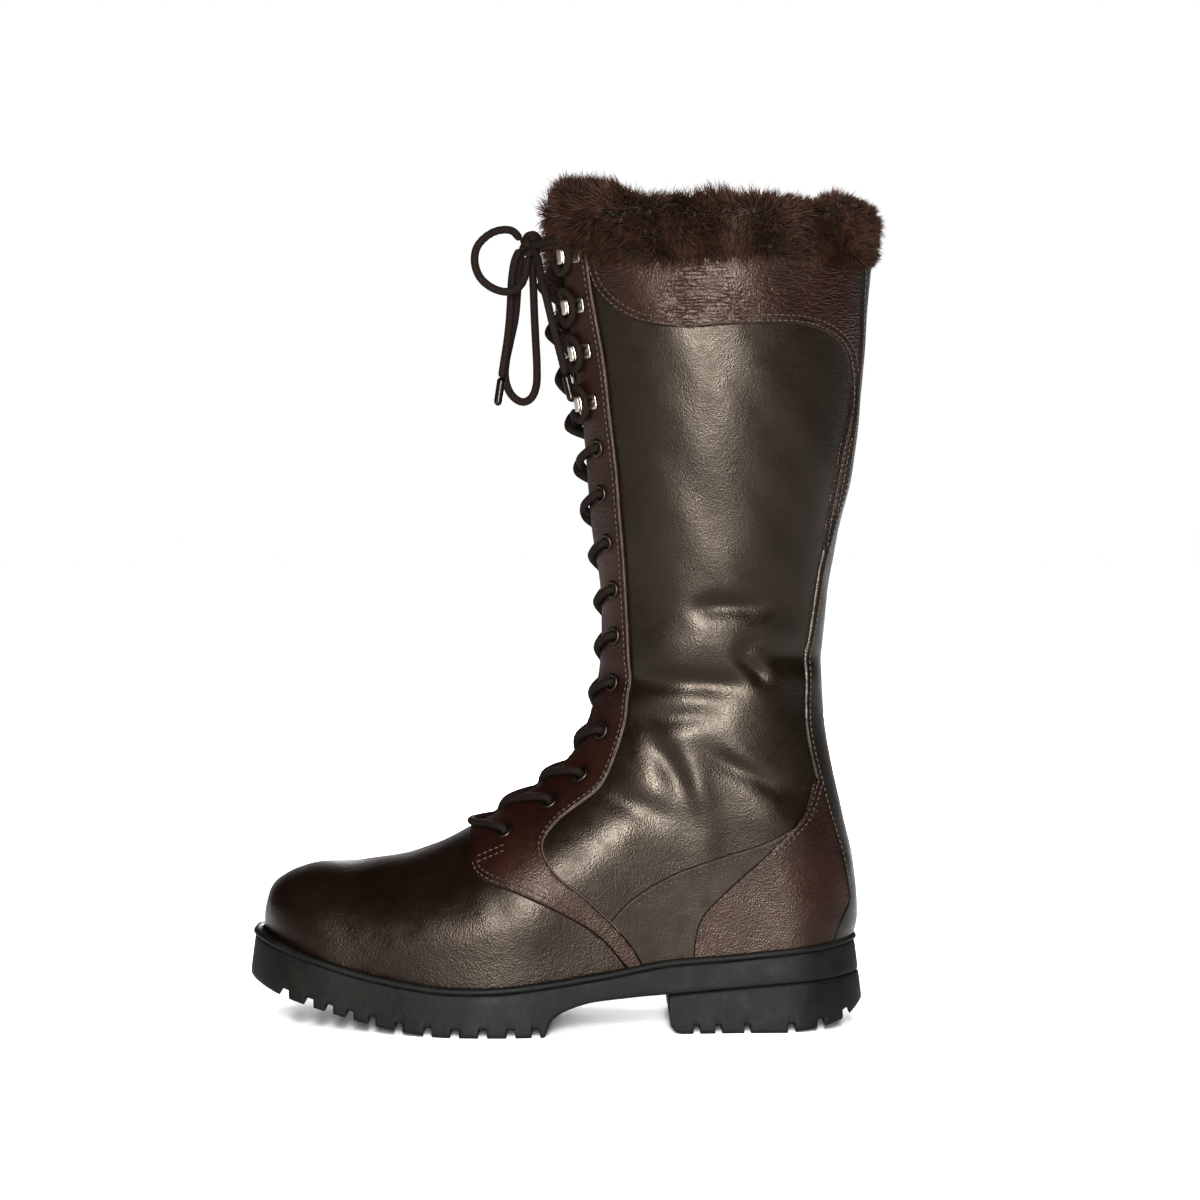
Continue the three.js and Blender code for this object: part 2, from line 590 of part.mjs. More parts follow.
function addUpper() {
  const leather = layer(0, LEATHER).intersect(spaceAbove(GAP, LEATHER_TOP));
  const prisms = (wider) => {
    const made = Object.entries(OUTLINES).map(([name, outline]) => [name, sidePrism(grown(outline, wider))]);
    return Object.fromEntries(made);
  };
  const cutter = prisms(0);
  const clear = prisms(GAP);
  clear.facing = clear.facing.subtract(lacingGap(-GAP));
  const panel = (name) =>
    STITCHED_OVER[name].reduce((left, over) => left.subtract(clear[over]), leather.intersect(cutter[name]));
  const halfSpace = { outer: sidePrism(WHOLE_VIEW, -99, -GAP / 2), inner: sidePrism(WHOLE_VIEW, GAP / 2, 99) };

  const holes = rows.slice(0, EYELET_ROWS).flatMap((row) =>
    SIDES.map(([, side]) => {
      const drill = new THREE.CylinderGeometry(HOLE_RADIUS, HOLE_RADIUS, 14, 6);
      return solidOf(drill.applyMatrix4(standOn(row, side)));
    }),
  );
  const facings = holes.reduce((left, hole) => left.subtract(hole), panel("facing").subtract(lacingGap(0)));

  for (const [word] of SIDES) {
    addSolid(`facing_${word}`, facings.intersect(halfSpace[word]), "trimLeather");
    addSolid(`shaft_panel_${word}`, panel("shaft").intersect(halfSpace[word]), "shaftLeather");
    addSolid(`collar_panel_${word}`, panel("collar").intersect(halfSpace[word]), "trimLeather");
    addSolid(`heel_counter_${word}`, panel("counter").intersect(halfSpace[word]), "trimLeather");
    addSolid(`quarter_${word}`, panel("quarter").intersect(halfSpace[word]), "shaftLeather");
  }
  addSolid("vamp", panel("vamp"), "vampLeather");
  addSolid("backstay", panel("backstay"), "shaftLeather");
}

// Everything between the leather and the foot.
function addInside() {
  const seat = (low, high) => spaceAbove(low).subtract(spaceAbove(high));
  addSolid("insole_board", body(LINING[0]).intersect(seat(...BOARD)), "board");
  addSolid("footbed", body(LINING[1] + 0.7).intersect(seat(...FOOTBED)), "felt");

  const stiffening = layer(...STIFFENER).intersect(spaceAbove(GAP));
  addSolid("toe_puff", stiffening.intersect(sidePrism(PUFF)), "stiffener");
  addSolid("heel_stiffener", stiffening.intersect(sidePrism(HEEL_CUP)), "stiffener");

  const fleece = layer(...LINING)
    .intersect(spaceAbove(BOARD[1] + GAP, LINING_TOP))
    .subtract(tongueSpace(TONGUE_CLEAR));
  addSolid("lining", fleece, "fur");

  addSolid("tongue", tonguePart(0, TONGUE_THICK, TONGUE_LOW, TONGUE_TOP, 17), "tongueLeather");
  const furBack = TONGUE_THICK + TONGUE_FUR_THICK;
  const behind = tonguePart(TONGUE_THICK + GAP, furBack, TONGUE_FUR_LOW, TONGUE_TOP + 3, 3);
  const over = tonguePart(-1, furBack + 1.2, TONGUE_TOP + GAP, TONGUE_FUR_TOP, 1);
  addSolid("tongue_fur", behind.add(over), "fur");
}

// Depth of the tongue's face at the middle of the front.
const swellAt = (z) => lerp(TONGUE_DEPTH, TONGUE_SWELL, smooth((z - SWELLS_FROM) / SWELLS_OVER));

// A layer of the tongue between two heights. The tongue lies deep under the facings and swells forward between
// them, more so towards its top.
function tonguePart(outer, inner, low, high, steps) {
  const rings = range(steps + 1).map((i) => {
    const z = lerp(low, high, (i / steps) ** 1.6);
    const half = lacingHalf(z);
    const middle = swellAt(z);
    const across = range(TONGUE_POINTS + 1).map((j) => lerp(-1, 1, j / TONGUE_POINTS) * tongueHalf(z));
    const depthAt = (y) => lerp(middle, TONGUE_DEPTH, Math.min(1, Math.abs(y) / (half - 1)));
    const facePoint = (y, extra) =>
      Math.abs(y) < 0.1 ? onMiddle(z, -middle - extra) : onFront(y, z, -depthAt(y) - extra);
    const edge = (extra) => across.map((y) => facePoint(y, extra));
    return [...edge(outer), ...edge(inner).reverse()].map((p) => p.toArray());
  });
  return loft(rings);
}

// The sole unit: heel and forefoot stand on the ground, with the waist arched between them.
function addSole() {
  const block = (extra) => loft([soleOutline(extra, -5), soleOutline(extra, 60)]);
  const under = seam(SOLE_UNDER, 10);
  const waist = seam([[TREAD_REAR, 0], [TREAD_REAR + 5, 9], [14, 15], [34, WAIST_UNDER], [HEEL_BREAST, 19]], 8);
  const xs = range(TRIM_STEPS + 1).map((i) => lerp(TRIM_X[1], TRIM_X[0], i / TRIM_STEPS));
  const topLine = (drop) => xs.map((x) => [x, weltTop(x) - drop]);

  const [[, splitFront], [, splitRear]] = HEEL_SPLIT;
  const sole = [...under, ...waist, [HEEL_BREAST, splitFront], [TRIM_X[1], splitRear]];
  const solePart = block(0).intersect(sidePrism([[TRIM_X[0], 27], ...sole, ...topLine(WELT_HEIGHT)]));
  const shankPocket = shankPrism(SHANK_THICK + 2 * GAP, SHANK_HALF + GAP, GAP, 30);
  const bars = TREAD_GROOVES.map((x) => grooveAt(x, LUG_GROOVE, soleUnder(x)));
  addSolid("outsole", bars.reduce((left, bar) => left.subtract(bar), solePart.subtract(shankPocket)), "rubber");
  addSolid("shank", shankPrism(SHANK_THICK, SHANK_HALF, 0, 0), "steel");

  const heel = [
    [HEEL_BREAST, splitFront - GAP], [HEEL_BREAST + 1, HEEL_CORNER - 1], [HEEL_BREAST + HEEL_CORNER, 0],
    ...seam(HEEL_BEVEL, 5), [TRIM_X[1], splitRear - GAP],
  ];
  const heelUnder = through(HEEL_BEVEL);
  const heelBars = HEEL_GROOVES.map((x) => grooveAt(x, HEEL_GROOVE, heelUnder(x)));
  const heelPart = block(0).intersect(sidePrism(heel));
  addSolid("heel_block", heelBars.reduce((left, bar) => left.subtract(bar), heelPart), "rubber");

  const band = sidePrism([...topLine(0), ...topLine(WELT_HEIGHT - GAP).reverse()]);
  addSolid("storm_welt", block(WELT_PROUD).intersect(band).subtract(body(-GAP)), "rubber");
}

function shankPrism(thick, halfWidth, lift, openTop) {
  const xs = range(9).map((i) => lerp(SHANK_X[0] - lift, SHANK_X[1] + lift, i / 8));
  const level = (x) => weltTop(x) - WELT_HEIGHT - GAP - SHANK_THICK - lift;
  const edge = (rise) => xs.map((x) => [x, level(x) + rise]);
  const outline = [...edge(0), ...edge(thick + openTop).reverse()];
  return sidePrism(outline, -halfWidth, halfWidth);
}

// A groove right across the tread, cut up from the underside, which lies at height z there.
function grooveAt(x, wide, z) {
  const [low, high] = [-9, z + LUG_DEPTH];
  return sidePrism([[x - wide / 2, low], [x + wide / 2, low], [x + wide / 2, high], [x - wide / 2, high]]);
}

// The outline of the sole in plan at height z, as a ring of points.
function soleOutline(extra, z) {
  const xs = range(SOLE_POINTS + 1).map((i) => {
    const turn = (Math.PI * i) / SOLE_POINTS;
    return BODY_MIDDLE - (BODY_HALF_LENGTH - 0.4) * Math.cos(turn);
  });
  const edge = (side) => xs.map((x) => [x, surfaceY(x, Math.max(weltTop(x), 46), side)]);
  const plan = [...edge(-1), ...edge(1).reverse()].filter((p, i, all) => {
    const q = all[(i + 1) % all.length];
    return Math.hypot(p[0] - q[0], p[1] - q[1]) > 0.6;
  });
  const margin = (x) => {
    const base = lerp(SOLE_MARGIN_TOE, SOLE_MARGIN_HEEL, clamp01((x + 150) / 260));
    return base + extra + (FLARE_FROM - z) * SOLE_FLARE;
  };
  return grown(plan, margin).map(([x, y]) => [x, y, z]);
}

// Eyelets, hooks, the lace that they hold, its knot, and the two free ends of the bow.
function addHardware() {
  const ring = [
    [EYELET_BORE, -2.8], [EYELET_BORE + 0.5, -2.8], [EYELET_BORE + 0.5, GAP], [EYELET_FLANGE, GAP],
    [EYELET_FLANGE - 0.6, 1.1], [EYELET_BORE, 1.1], [EYELET_BORE, -2.8],
  ];
  const eyelet = new THREE.LatheGeometry(ring.map((p) => new THREE.Vector2(...p)), 6);
  const eyeletSolid = solidOf(eyelet);
  const hookSolid = makeHook();
  rows.forEach((row, i) =>
    SIDES.forEach(([word, side]) => {
      const hook = i >= EYELET_ROWS;
      const number = String(hook ? i - EYELET_ROWS + 1 : i + 1).padStart(2, "0");
      const solid = (hook ? hookSolid : eyeletSolid).transform(standOn(row, side).elements);
      addSolid(`${hook ? "hook" : "eyelet"}_${word}_${number}`, solid, hook ? "nickel" : "blackMetal");
    }),
  );
  addLace();
  add("lace_knot", new THREE.SphereGeometry(1, 12, 8).scale(...KNOT_HALF).translate(...KNOT), "lace");
  for (const [name, route] of Object.entries(LOOSE_LACE)) {
    const curve = new THREE.CatmullRomCurve3(route.map((p) => new THREE.Vector3(...p)));
    const steps = Math.round(curve.getLength() / (4 * LACE_RADIUS));
    add(`lace_${name}`, tube(curve, LACE_RADIUS, steps, 8), "lace");
    if (name.startsWith("loop")) continue;
    const tip = curve.getPoint(1);
    const way = curve.getTangent(1);
    const beyond = (by) => tip.clone().addScaledVector(way, by);
    const end = new THREE.LineCurve3(beyond(GAP), beyond(AGLET_LENGTH));
    add(name.replace("end", "aglet"), tube(end, LACE_RADIUS + 0.2, 1, 8), "aglet");
  }
}

// A matrix that stands a piece on the facing: its y axis points out of the leather and its x axis points
// along the surface away from the lacing gap.
function standOn(row, side) {
  const { point, normal } = surfaceAt(row.place, side);
  const edge = surfaceAt(row.edge, side).point;
  const away = point.clone().sub(edge);
  away.addScaledVector(normal, -away.dot(normal)).normalize();
  const along = new THREE.Vector3().crossVectors(away, normal);
  return new THREE.Matrix4().makeBasis(away, normal, along).setPosition(point);
}

// A speed hook: a plate riveted to the leather, whose front end rises and curls back.
function makeHook() {
  const t = HOOK_THICK;
  const bottom = [[4, GAP], [-4.2, GAP], [-6.2, 1.6], [-6.4, 4], [-5, 6.6], [-1.5, 7]];
  const top = [[-1.5, 7 - t], [-4.6, 6.6 - t], [-5.5, 4], [-5.2, 2.2], [-3.9, GAP + t], [4, GAP + t]];
  const section = shapeOf([...bottom, ...top]);
  const strip = new THREE.ExtrudeGeometry(section, { depth: HOOK_WIDTH, bevelEnabled: false });
  const head = new THREE.CylinderGeometry(1.2, 2.2, 0.9, 8).translate(1.2, GAP + t + 0.35, 0);
  return solidOf(strip.translate(0, 0, -HOOK_WIDTH / 2)).add(solidOf(head));
}

// A path through given points that a tube follows point by point.
class Route extends THREE.Curve {
  constructor(points) {
    super();
    this.points = points;
  }
  getPoint(t, target = new THREE.Vector3()) {
    const s = t * (this.points.length - 1);
    const i = Math.min(Math.floor(s), this.points.length - 2);
    return target.copy(this.points[i]).lerp(this.points[i + 1], s - i);
  }
  getPointAt(u, target) {
    return this.getPoint(u, target);
  }
  getTangentAt(u, target = new THREE.Vector3()) {
    const i = Math.round(u * (this.points.length - 1));
    const before = this.points[Math.max(i - 1, 0)];
    const after = this.points[Math.min(i + 1, this.points.length - 1)];
    return target.copy(after).sub(before).normalize();
  }
}

function tube(path, radius, steps, sides) {
  const section = range(sides).map((i) => {
    const turn = (2 * Math.PI * i) / sides;
    return [radius * Math.cos(turn), radius * Math.sin(turn)];
  });
  return new THREE.ExtrudeGeometry(shapeOf(section), { extrudePath: path, steps, bevelEnabled: false });
}

// The lace from one side of the knot to the other. Its middle is the lowest bar, and its two halves cross above
// every row.
function addLace() {
  const halves = SIDES.map(([, side]) => {
    const points = halfLace(side);
    return solidOf(tube(new Route(points), LACE_RADIUS, points.length - 1, 5));
  });
  addSolid("lace", halves[0].add(halves[1]), "lace");
}

// Half of the lace as points, from just past the middle of the lowest bar.
function halfLace(side) {
  const first = surfaceAt(rows[0].place, side).point;
  const points = [onMiddle(first.z, LACE_BAR), onFront(side * lacingHalf(0), first.z, LACE_EDGE)];
  points[0].y = -side * GAP;
  const onRow = (row, s, away, along, out) =>
    points.push(new THREE.Vector3(away, out, along * s).applyMatrix4(standOn(row, s)));
  let s = -side;
  rows.forEach((row, i) => {
    s = -s;
    const hook = i >= EYELET_ROWS;
    if (hook) for (const [away, along] of AROUND_HOOK) onRow(row, s, away, along, LACE_ON_HOOK);
    else for (const out of [LACE_OVER, -LACE_UNDER]) onRow(row, s, 0, 0, out);
    if (i === rows.length - 1) return;
    const from = surfaceAt(row.place, s).point;
    const to = surfaceAt(rows[i + 1].place, -s).point;
    const level = (y) => lerp(from.z, to.z, (y - from.y) / (to.y - from.y));
    const half = lacingHalf(from.z);
    const over = (i % 2 === 0) === (side < 0) ? 2 * LACE_RADIUS + GAP : 0;
    const middle = -swellAt(level(0)) + LACE_RADIUS + LACE_CLEAR + over;
    points.push(onFront(s * half, level(s * half), hook ? LACE_EDGE : -LACE_UNDER));
    points.push(onMiddle(level(0), middle));
    points.push(onFront(-s * (half - 0.5), level(-s * half), LACE_EDGE));
  });
  points.push(new THREE.Vector3(KNOT[0] + 2, s * (KNOT_HALF[1] + 4), KNOT[2] - 1));
  points.push(new THREE.Vector3(KNOT[0] + 1, s * (KNOT_HALF[1] + GAP), KNOT[2]));
  return points;
}

// The fur cuff: it lies over the top edge of the leather, outside and inside, and is open at the front.
function addCuff() {
  const level = sidePrism(CUFF);
  const outside = layer(-CUFF_OUT, -GAP).subtract(lacingGap(TONGUE_CLEAR));
  const inside = layer(LEATHER + GAP, CUFF_IN).subtract(tongueSpace(TONGUE_CLEAR));
  const across = layer(-CUFF_OUT, CUFF_IN).intersect(sidePrism(aboveLevel(LEATHER_TOP + GAP)));
  const over = across.subtract(tongueSpace(TONGUE_CLEAR));
  addSolid("fur_cuff", outside.add(inside).add(over).intersect(level), "fur");
}

addUpper();
addInside();
addSole();
addCuff();
// The boot stands on its origin, which lies under the middle of everything but the loose lace.
const standing = new THREE.Box3().setFromObject(boot);
const middle = standing.getCenter(new THREE.Vector3());
boot.position.set(-middle.x, -middle.y, -standing.min.z);
addHardware();
export default boot;
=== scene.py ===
import math

import bpy
import numpy as np
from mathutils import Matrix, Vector


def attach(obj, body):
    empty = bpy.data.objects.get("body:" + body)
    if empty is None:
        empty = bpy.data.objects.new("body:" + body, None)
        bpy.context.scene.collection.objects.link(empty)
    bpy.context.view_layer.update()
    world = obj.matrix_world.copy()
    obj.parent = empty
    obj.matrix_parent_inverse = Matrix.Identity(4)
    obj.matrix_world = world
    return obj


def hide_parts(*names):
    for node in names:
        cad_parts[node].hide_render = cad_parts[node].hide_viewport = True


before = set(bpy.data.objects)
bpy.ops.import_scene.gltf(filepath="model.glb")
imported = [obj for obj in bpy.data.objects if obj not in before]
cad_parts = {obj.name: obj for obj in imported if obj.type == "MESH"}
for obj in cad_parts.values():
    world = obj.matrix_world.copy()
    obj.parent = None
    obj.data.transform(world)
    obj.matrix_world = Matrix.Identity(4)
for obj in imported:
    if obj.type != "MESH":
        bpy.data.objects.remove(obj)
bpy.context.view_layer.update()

# A tall lace-up winter boot, left foot. The numbers below are millimetres in the boot's drawing frame,
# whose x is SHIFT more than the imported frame's; row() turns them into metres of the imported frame.
SHIFT = 5.369
BODY = "boot_body"
TONGUE_BODY = "tongue_body"
OUTER, INNER = -1, 1
SIDES = (("outer", OUTER), ("inner", INNER))
RNG = np.random.default_rng(7)


def row(points):
    """Drawing frame, mm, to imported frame, m."""
    points = np.asarray(points, float)
    return (points - np.array([SHIFT, 0, 0])) / 1000


# ------------------------------------------------------------------ camera

LOOK_AT = Vector((0.0174, 0, 0.2063))
FIELD_WIDTH = 0.588
LENS, SENSOR = 100, 36
ELEVATION = math.radians(2.0)


def make_camera():
    data = bpy.data.cameras.new("camera")
    data.lens, data.sensor_width = LENS, SENSOR
    camera = bpy.data.objects.new("camera", data)
    bpy.context.scene.collection.objects.link(camera)
    away = FIELD_WIDTH * LENS / SENSOR
    camera.location = LOOK_AT + Vector((0, -math.cos(ELEVATION), math.sin(ELEVATION))) * away
    camera.rotation_euler = (math.pi / 2 - ELEVATION, 0, 0)
    bpy.context.scene.camera = camera
    bpy.context.scene.view_settings.view_transform = "Standard"
    bpy.context.scene.view_settings.gamma = 0.82


make_camera()

# ------------------------------------------------------------------ small maths


def smooth(v):
    v = np.clip(v, 0, 1)
    return v * v * (3 - 2 * v)


def lerp(a, b, t):
    return a + (b - a) * t


def unit(v):
    v = np.asarray(v, float)
    return v / np.maximum(np.linalg.norm(v, axis=-1, keepdims=True), 1e-9)


def through(knots, x):
    """y by x through knots (x, y), rounded between them."""
    knots = np.asarray(knots, float)
    kx, ky = knots[:, 0], knots[:, 1]
    before = np.maximum(np.arange(len(kx)) - 1, 0)
    after = np.minimum(np.arange(len(kx)) + 1, len(kx) - 1)
    slope = (ky[after] - ky[before]) / (kx[after] - kx[before])
    x = np.clip(np.asarray(x, float), kx[0], kx[-1])
    i = np.clip(np.searchsorted(kx, x, side="right") - 1, 0, len(kx) - 2)
    h = kx[i + 1] - kx[i]
    t = (x - kx[i]) / h
    a = (2 * t**3 - 3 * t**2 + 1) * ky[i] + (3 * t**2 - 2 * t**3) * ky[i + 1]
    return a + (t**3 - 2 * t**2 + t) * h * slope[i] + (t**3 - t**2) * h * slope[i + 1]


def spline(points, steps_each=12):
    """Points on a smooth centripetal curve through the given points."""
    p = np.asarray(points, float)
    made = []
    for i in range(len(p) - 1):
        p1, p2 = p[i], p[i + 1]
        p0 = p[i - 1] if i else 2 * p1 - p2
        p3 = p[i + 2] if i + 2 < len(p) else 2 * p2 - p1
        d0, d1, d2 = (max(np.linalg.norm(b - a), 1e-6) ** 0.5 for a, b in ((p0, p1), (p1, p2), (p2, p3)))
        t1 = ((p1 - p0) / d0 - (p2 - p0) / (d0 + d1) + (p2 - p1) / d1) * d1
        t2 = ((p2 - p1) / d1 - (p3 - p1) / (d1 + d2) + (p3 - p2) / d2) * d1
        t = (np.arange(steps_each) / steps_each)[:, None]
        made.append(p1 + t1 * t + (3 * (p2 - p1) - 2 * t1 - t2) * t**2 + (2 * (p1 - p2) + t1 + t2) * t**3)
    return np.concatenate([*made, p[-1:]])


def lengths(points):
    """Distance along a polyline at each of its points."""
    return np.concatenate([[0], np.cumsum(np.linalg.norm(np.diff(points, axis=0), axis=1))])


def sample(at, marks, rows):
    """Rows of values, known at the marks, read off at other places."""
    return np.stack([np.interp(at, marks, rows[:, k]) for k in range(rows.shape[1])], axis=-1)


def spaced(points, pitch):
    """Points at an even pitch along a polyline, its ends included."""
    points = np.asarray(points, float)
    length = lengths(points)
    count = max(2, int(round(length[-1] / pitch)) + 1)
    return sample(np.linspace(0, length[-1], count), length, points)


def seam(points, pitch=1.5):
    return spaced(spline(points), pitch)


def left_of(line):
    """Directions to the left of a flat line."""
    way = unit(np.gradient(line, axis=0))
    return np.stack([-way[:, 1], way[:, 0]], axis=1)


def bisect(low, high, turns, outside):
    """The inner end of the span, for each place, in which outside(x) turns false."""
    for _ in range(turns):
        x = (low + high) / 2
        out = outside(x)
        low, high = np.where(out, x, low), np.where(out, high, x)
    return high


# ------------------------------------------------------------------ the body of the upper

# Section lines, toe to top: lower or rear end (x, z), upper or front end (x, z), rounding depth front and
# back.
SECTIONS = (
    ((-142.6, 44.5), (-142.6, 49), 40, 33),
    ((-137, 43.5), (-141.8, 57.5), 40, 33),
    ((-125, 39.5), (-137.5, 67.5), 40, 33),
    ((-108, 34.5), (-121, 76), 40, 33),
    ((-80, 27.6), (-90, 78.8), 44, 33),
    ((-54, 23.8), (-62, 85), 48, 33),
    ((-28, 23.8), (-40, 95.5), 50, 33),
    ((0, 26.7), (-19, 108.5), 50, 33),
    ((30, 30.9), (-4, 119), 50, 33),
    ((62, 36), (6, 127.8), 50, 33),
    ((95, 38.2), (12.3, 136.5), 50, 33),
    ((122, 41), (16.3, 146.5), 50, 33),
    ((140, 43.6), (19, 155), 50, 33),
    ((146, 45), (20.5, 162), 50, 34),
    ((146.3, 72), (21.8, 169), 50, 36),
    ((141.5, 96), (22.7, 177), 50, 40),
    ((135, 124), (23.1, 187), 50, 44),
    ((130.2, 160), (22.9, 201), 51, 48),
    ((131, 198), (21.6, 218), 53, 52),
    ((137, 236), (16.6, 243), 58, 60),
    ((145, 272), (12.2, 277), 65, 66),
    ((149, 310), (6.8, 310), 71, 72),
    ((152, 350), (-0.5, 347), 75, 76),
    ((154.5, 386), (-6, 388), 78, 78),
    ((156, 430), (-9, 432), 78, 78),
)
HEEL_SECTION = 13
FRONT_ENDS = 75.0  # x that parts the front of the shaft from its back
FOOT_OUTER = ((-142, 43), (-100, 45), (-60, 50), (-20, 51), (20, 45), (60, 39), (100, 36.5), (150, 36))
FOOT_INNER = ((-142, 43), (-100, 47), (-60, 49), (-20, 45), (20, 38.5), (60, 35), (100, 35), (150, 35))
SHAFT_HALF = ((60, 42), (110, 41), (160, 39.5), (200, 42), (250, 48), (300, 54), (350, 57.5), (430, 59))
WELT_TOP = (
    (-150, 48.5), (-134.6, 43.5), (-114.5, 36.5), (-94.4, 30.5), (-74.4, 26.6), (-54, 23.8), (-34, 23.4),
    (-14, 24.8),
    (26, 30.2), (54.4, 35), (86.6, 37.4), (126.6, 41.5), (152, 45),
)
SPAN = 60  # curve points between two sections
LOW = spline([s[0] for s in SECTIONS], SPAN)
HIGH = spline([s[1] for s in SECTIONS], SPAN)
LOW[:HEEL_SECTION * SPAN + 1, 1] -= 2  # the leather runs on below the top of the welt
ROUND_FRONT = np.interp(np.arange(len(HIGH)) / SPAN, np.arange(len(SECTIONS)), [s[2] for s in SECTIONS])
ROUND_BACK = np.interp(np.arange(len(LOW)) / SPAN, np.arange(len(SECTIONS)), [s[3] for s in SECTIONS])


class Edge:
    """The front or back profile of the body, as a field of soft distance and rounding depth."""

    POWER = 6
    RUN_ON = 30  # mm that the profile is carried on past each end
    BATCH = 8000  # places worked out at a time, to spare memory
    STRAIGHT = math.sqrt(math.pi) * math.gamma(2.5) / math.gamma(3)  # a straight line's sum at distance 1

    def __init__(self, line, rounding, turn):
        first, last, more = line[0], line[-1], self.RUN_ON
        down = np.stack([np.full(more, first[0]), first[1] - np.arange(more, 0, -1.0)], axis=1)
        up = last + unit(last - line[-2]) * np.arange(1.0, more + 1)[:, None]
        whole = np.concatenate([down, line, up])
        rounds = np.concatenate([np.full(more, rounding[0]), rounding, np.full(more, rounding[-1])])
        self.points = spaced(np.column_stack([whole, rounds]), 1.0)
        self.turn = turn

    def __call__(self, x, z):
        """Distance inward, 0 outside, and the rounding depth."""
        away = np.empty(len(x))
        rounding = np.empty(len(x))
        line, rounds = self.points[:, :2], self.points[:, 2]
        step = np.diff(line, axis=0)
        pitch = np.linalg.norm(step, axis=1).mean()
        for start in range(0, len(x), self.BATCH):
            part = slice(start, start + self.BATCH)
            p = np.stack([x[part], z[part]], axis=1)
            to = p[:, None, :] - line[None, :-1, :]
            t = np.clip((to * step).sum(-1) / (step**2).sum(-1), 0, 1)
            gap = np.linalg.norm(to - t[..., None] * step, axis=2)
            k = gap.argmin(axis=1)
            each = np.arange(len(k))
            near = gap[each, k]
            weight = np.maximum(gap, 0.4) ** -self.POWER
            total = weight.sum(axis=1) * pitch
            soft = (total / self.STRAIGHT) ** (1 / (1 - self.POWER))
            dist = lerp(near, soft, smooth((near - 2) / 8))
            cross = step[k, 0] * to[each, k, 1] - step[k, 1] * to[each, k, 0]
            away[part] = np.where(cross * self.turn > 0, 0, dist)
            rounding[part] = (weight * rounds[:-1]).sum(axis=1) / weight.sum(axis=1)
        return away, rounding


FRONT = Edge(HIGH, ROUND_FRONT, 1)
BACK = Edge(LOW[HEEL_SECTION * SPAN:], ROUND_BACK[HEEL_SECTION * SPAN:], -1)


def quarter_round(v):
    return np.sqrt(np.maximum(0, 1 - (1 - np.clip(v, 0, 1)) ** 2))


def half_width(x, z, side):
    """Distance from the middle surface to the outer one, at side-view places."""
    x, z = np.broadcast_arrays(np.asarray(x, float), np.asarray(z, float))
    shape = x.shape
    x, z = x.ravel(), z.ravel()
    side = np.broadcast_to(side, shape).ravel()
    foot = np.where(side < 0, through(FOOT_OUTER, x), through(FOOT_INNER, x))
    full = lerp(foot, through(SHAFT_HALF, z), smooth((z - 70) / 80))
    front, round_front = FRONT(x, z)
    back, round_back = BACK(x, z)
    return (full * quarter_round(front / round_front) * quarter_round(back / round_back)).reshape(shape)


def swing(x, z):
    """How far the forefoot is set over to the inner side."""
    return 7 * smooth((-20 - np.asarray(x, float)) / 120) * (1 - smooth((np.asarray(z, float) - 90) / 60))


def surface_y(x, z, side):
    return swing(x, z) + side * half_width(x, z, side)


def surface_at(places, side, out=0.0):
    """Points of the outer surface at side-view places, moved out, and the outward directions there."""
    places = np.asarray(places, float).reshape(-1, 2)
    x, z = places[:, 0], places[:, 1]
    step = 0.6
    dx = (surface_y(x + step, z, side) - surface_y(x - step, z, side)) / (2 * step)
    dz = (surface_y(x, z + step, side) - surface_y(x, z - step, side)) / (2 * step)
    normal = unit(np.stack([-dx * side, np.full(len(x), float(side)), -dz * side], axis=1))
    point = np.stack([x, surface_y(x, z, side), z], axis=1)
    return point + normal * np.reshape(out, (-1, 1)), normal


def on_front(y, z, out):
    """Points of the front at distance |y| from the middle, on the side of y's sign, moved out."""
    y, z, out = (np.atleast_1d(np.asarray(v, float)) for v in np.broadcast_arrays(y, z, out))
    side = np.where(y < 0, -1.0, 1.0)
    high = bisect(
        np.full(len(y), -150.0), np.full(len(y), FRONT_ENDS), 18,
        lambda x: half_width(x, z, side) < np.maximum(np.abs(y), 0.3),
    )
    made = np.empty((len(y), 3))
    for s in (-1, 1):
        pick = side == s
        if pick.any():
            made[pick] = surface_at(np.stack([high[pick], z[pick]], axis=1), s, out[pick])[0]
    return made


def on_middle(z, out):
    """The centre line of the front at heights z, moved out."""
    z = np.atleast_1d(np.asarray(z, float))
    x = np.interp(z, HIGH[:, 1], HIGH[:, 0])
    nx, nz = sample(z, HIGH[:, 1], left_of(HIGH)).T
    return np.stack([x + nx * out, np.zeros(len(z)), z + nz * out], axis=1)


# ------------------------------------------------------------------ seams, in the side view

LEATHER_TOP = 388
LACING_HALF = ((185, 9), (245, 14.5), (300, 21), (LEATHER_TOP, 29))
TONGUE_HALF = ((130, 29), (200, 25), (245, 28), (300, 34), (LEATHER_TOP, 41))
THROAT = -36

FACING_UNDER = seam([(-41, 83), (-36.5, 75.1), (-15.3, 66.7), (5.8, 56.6), (22.7, 45.5), (36, 30)])
FACING_BACK = seam([
    (45, 31), (37, 43.8), (18.5, 63.2), (0.3, 78.7), (-4.4, 89.7), (2.9, 100.6), (23.2, 117.5), (33.7, 140.4),
    (37.4, 165.7), (37, 194.7), (33.6, 245.3), (29.6, 287.2), (25.4, 321.2), (19.5, 355), (14.6, 391),
])
COLLAR_UNDER = seam([
    (12, 391), (19.7, 356.4), (36.3, 341.6), (59.5, 336.6), (88.3, 338), (124.5, 337), (138.9, 327.9), (143,
    306.3),
    (136.3, 272.5), (129.6, 231),
])
BACKSTAY_EDGE = seam([
    (148, 391), (147.5, 338.3), (144.6, 297), (139, 260), (129.6, 226), (123.5, 188.2), (121.8, 165.5),
    (122.3, 143),
    (129, 112.9), (138.7, 81.3), (142, 61),
])
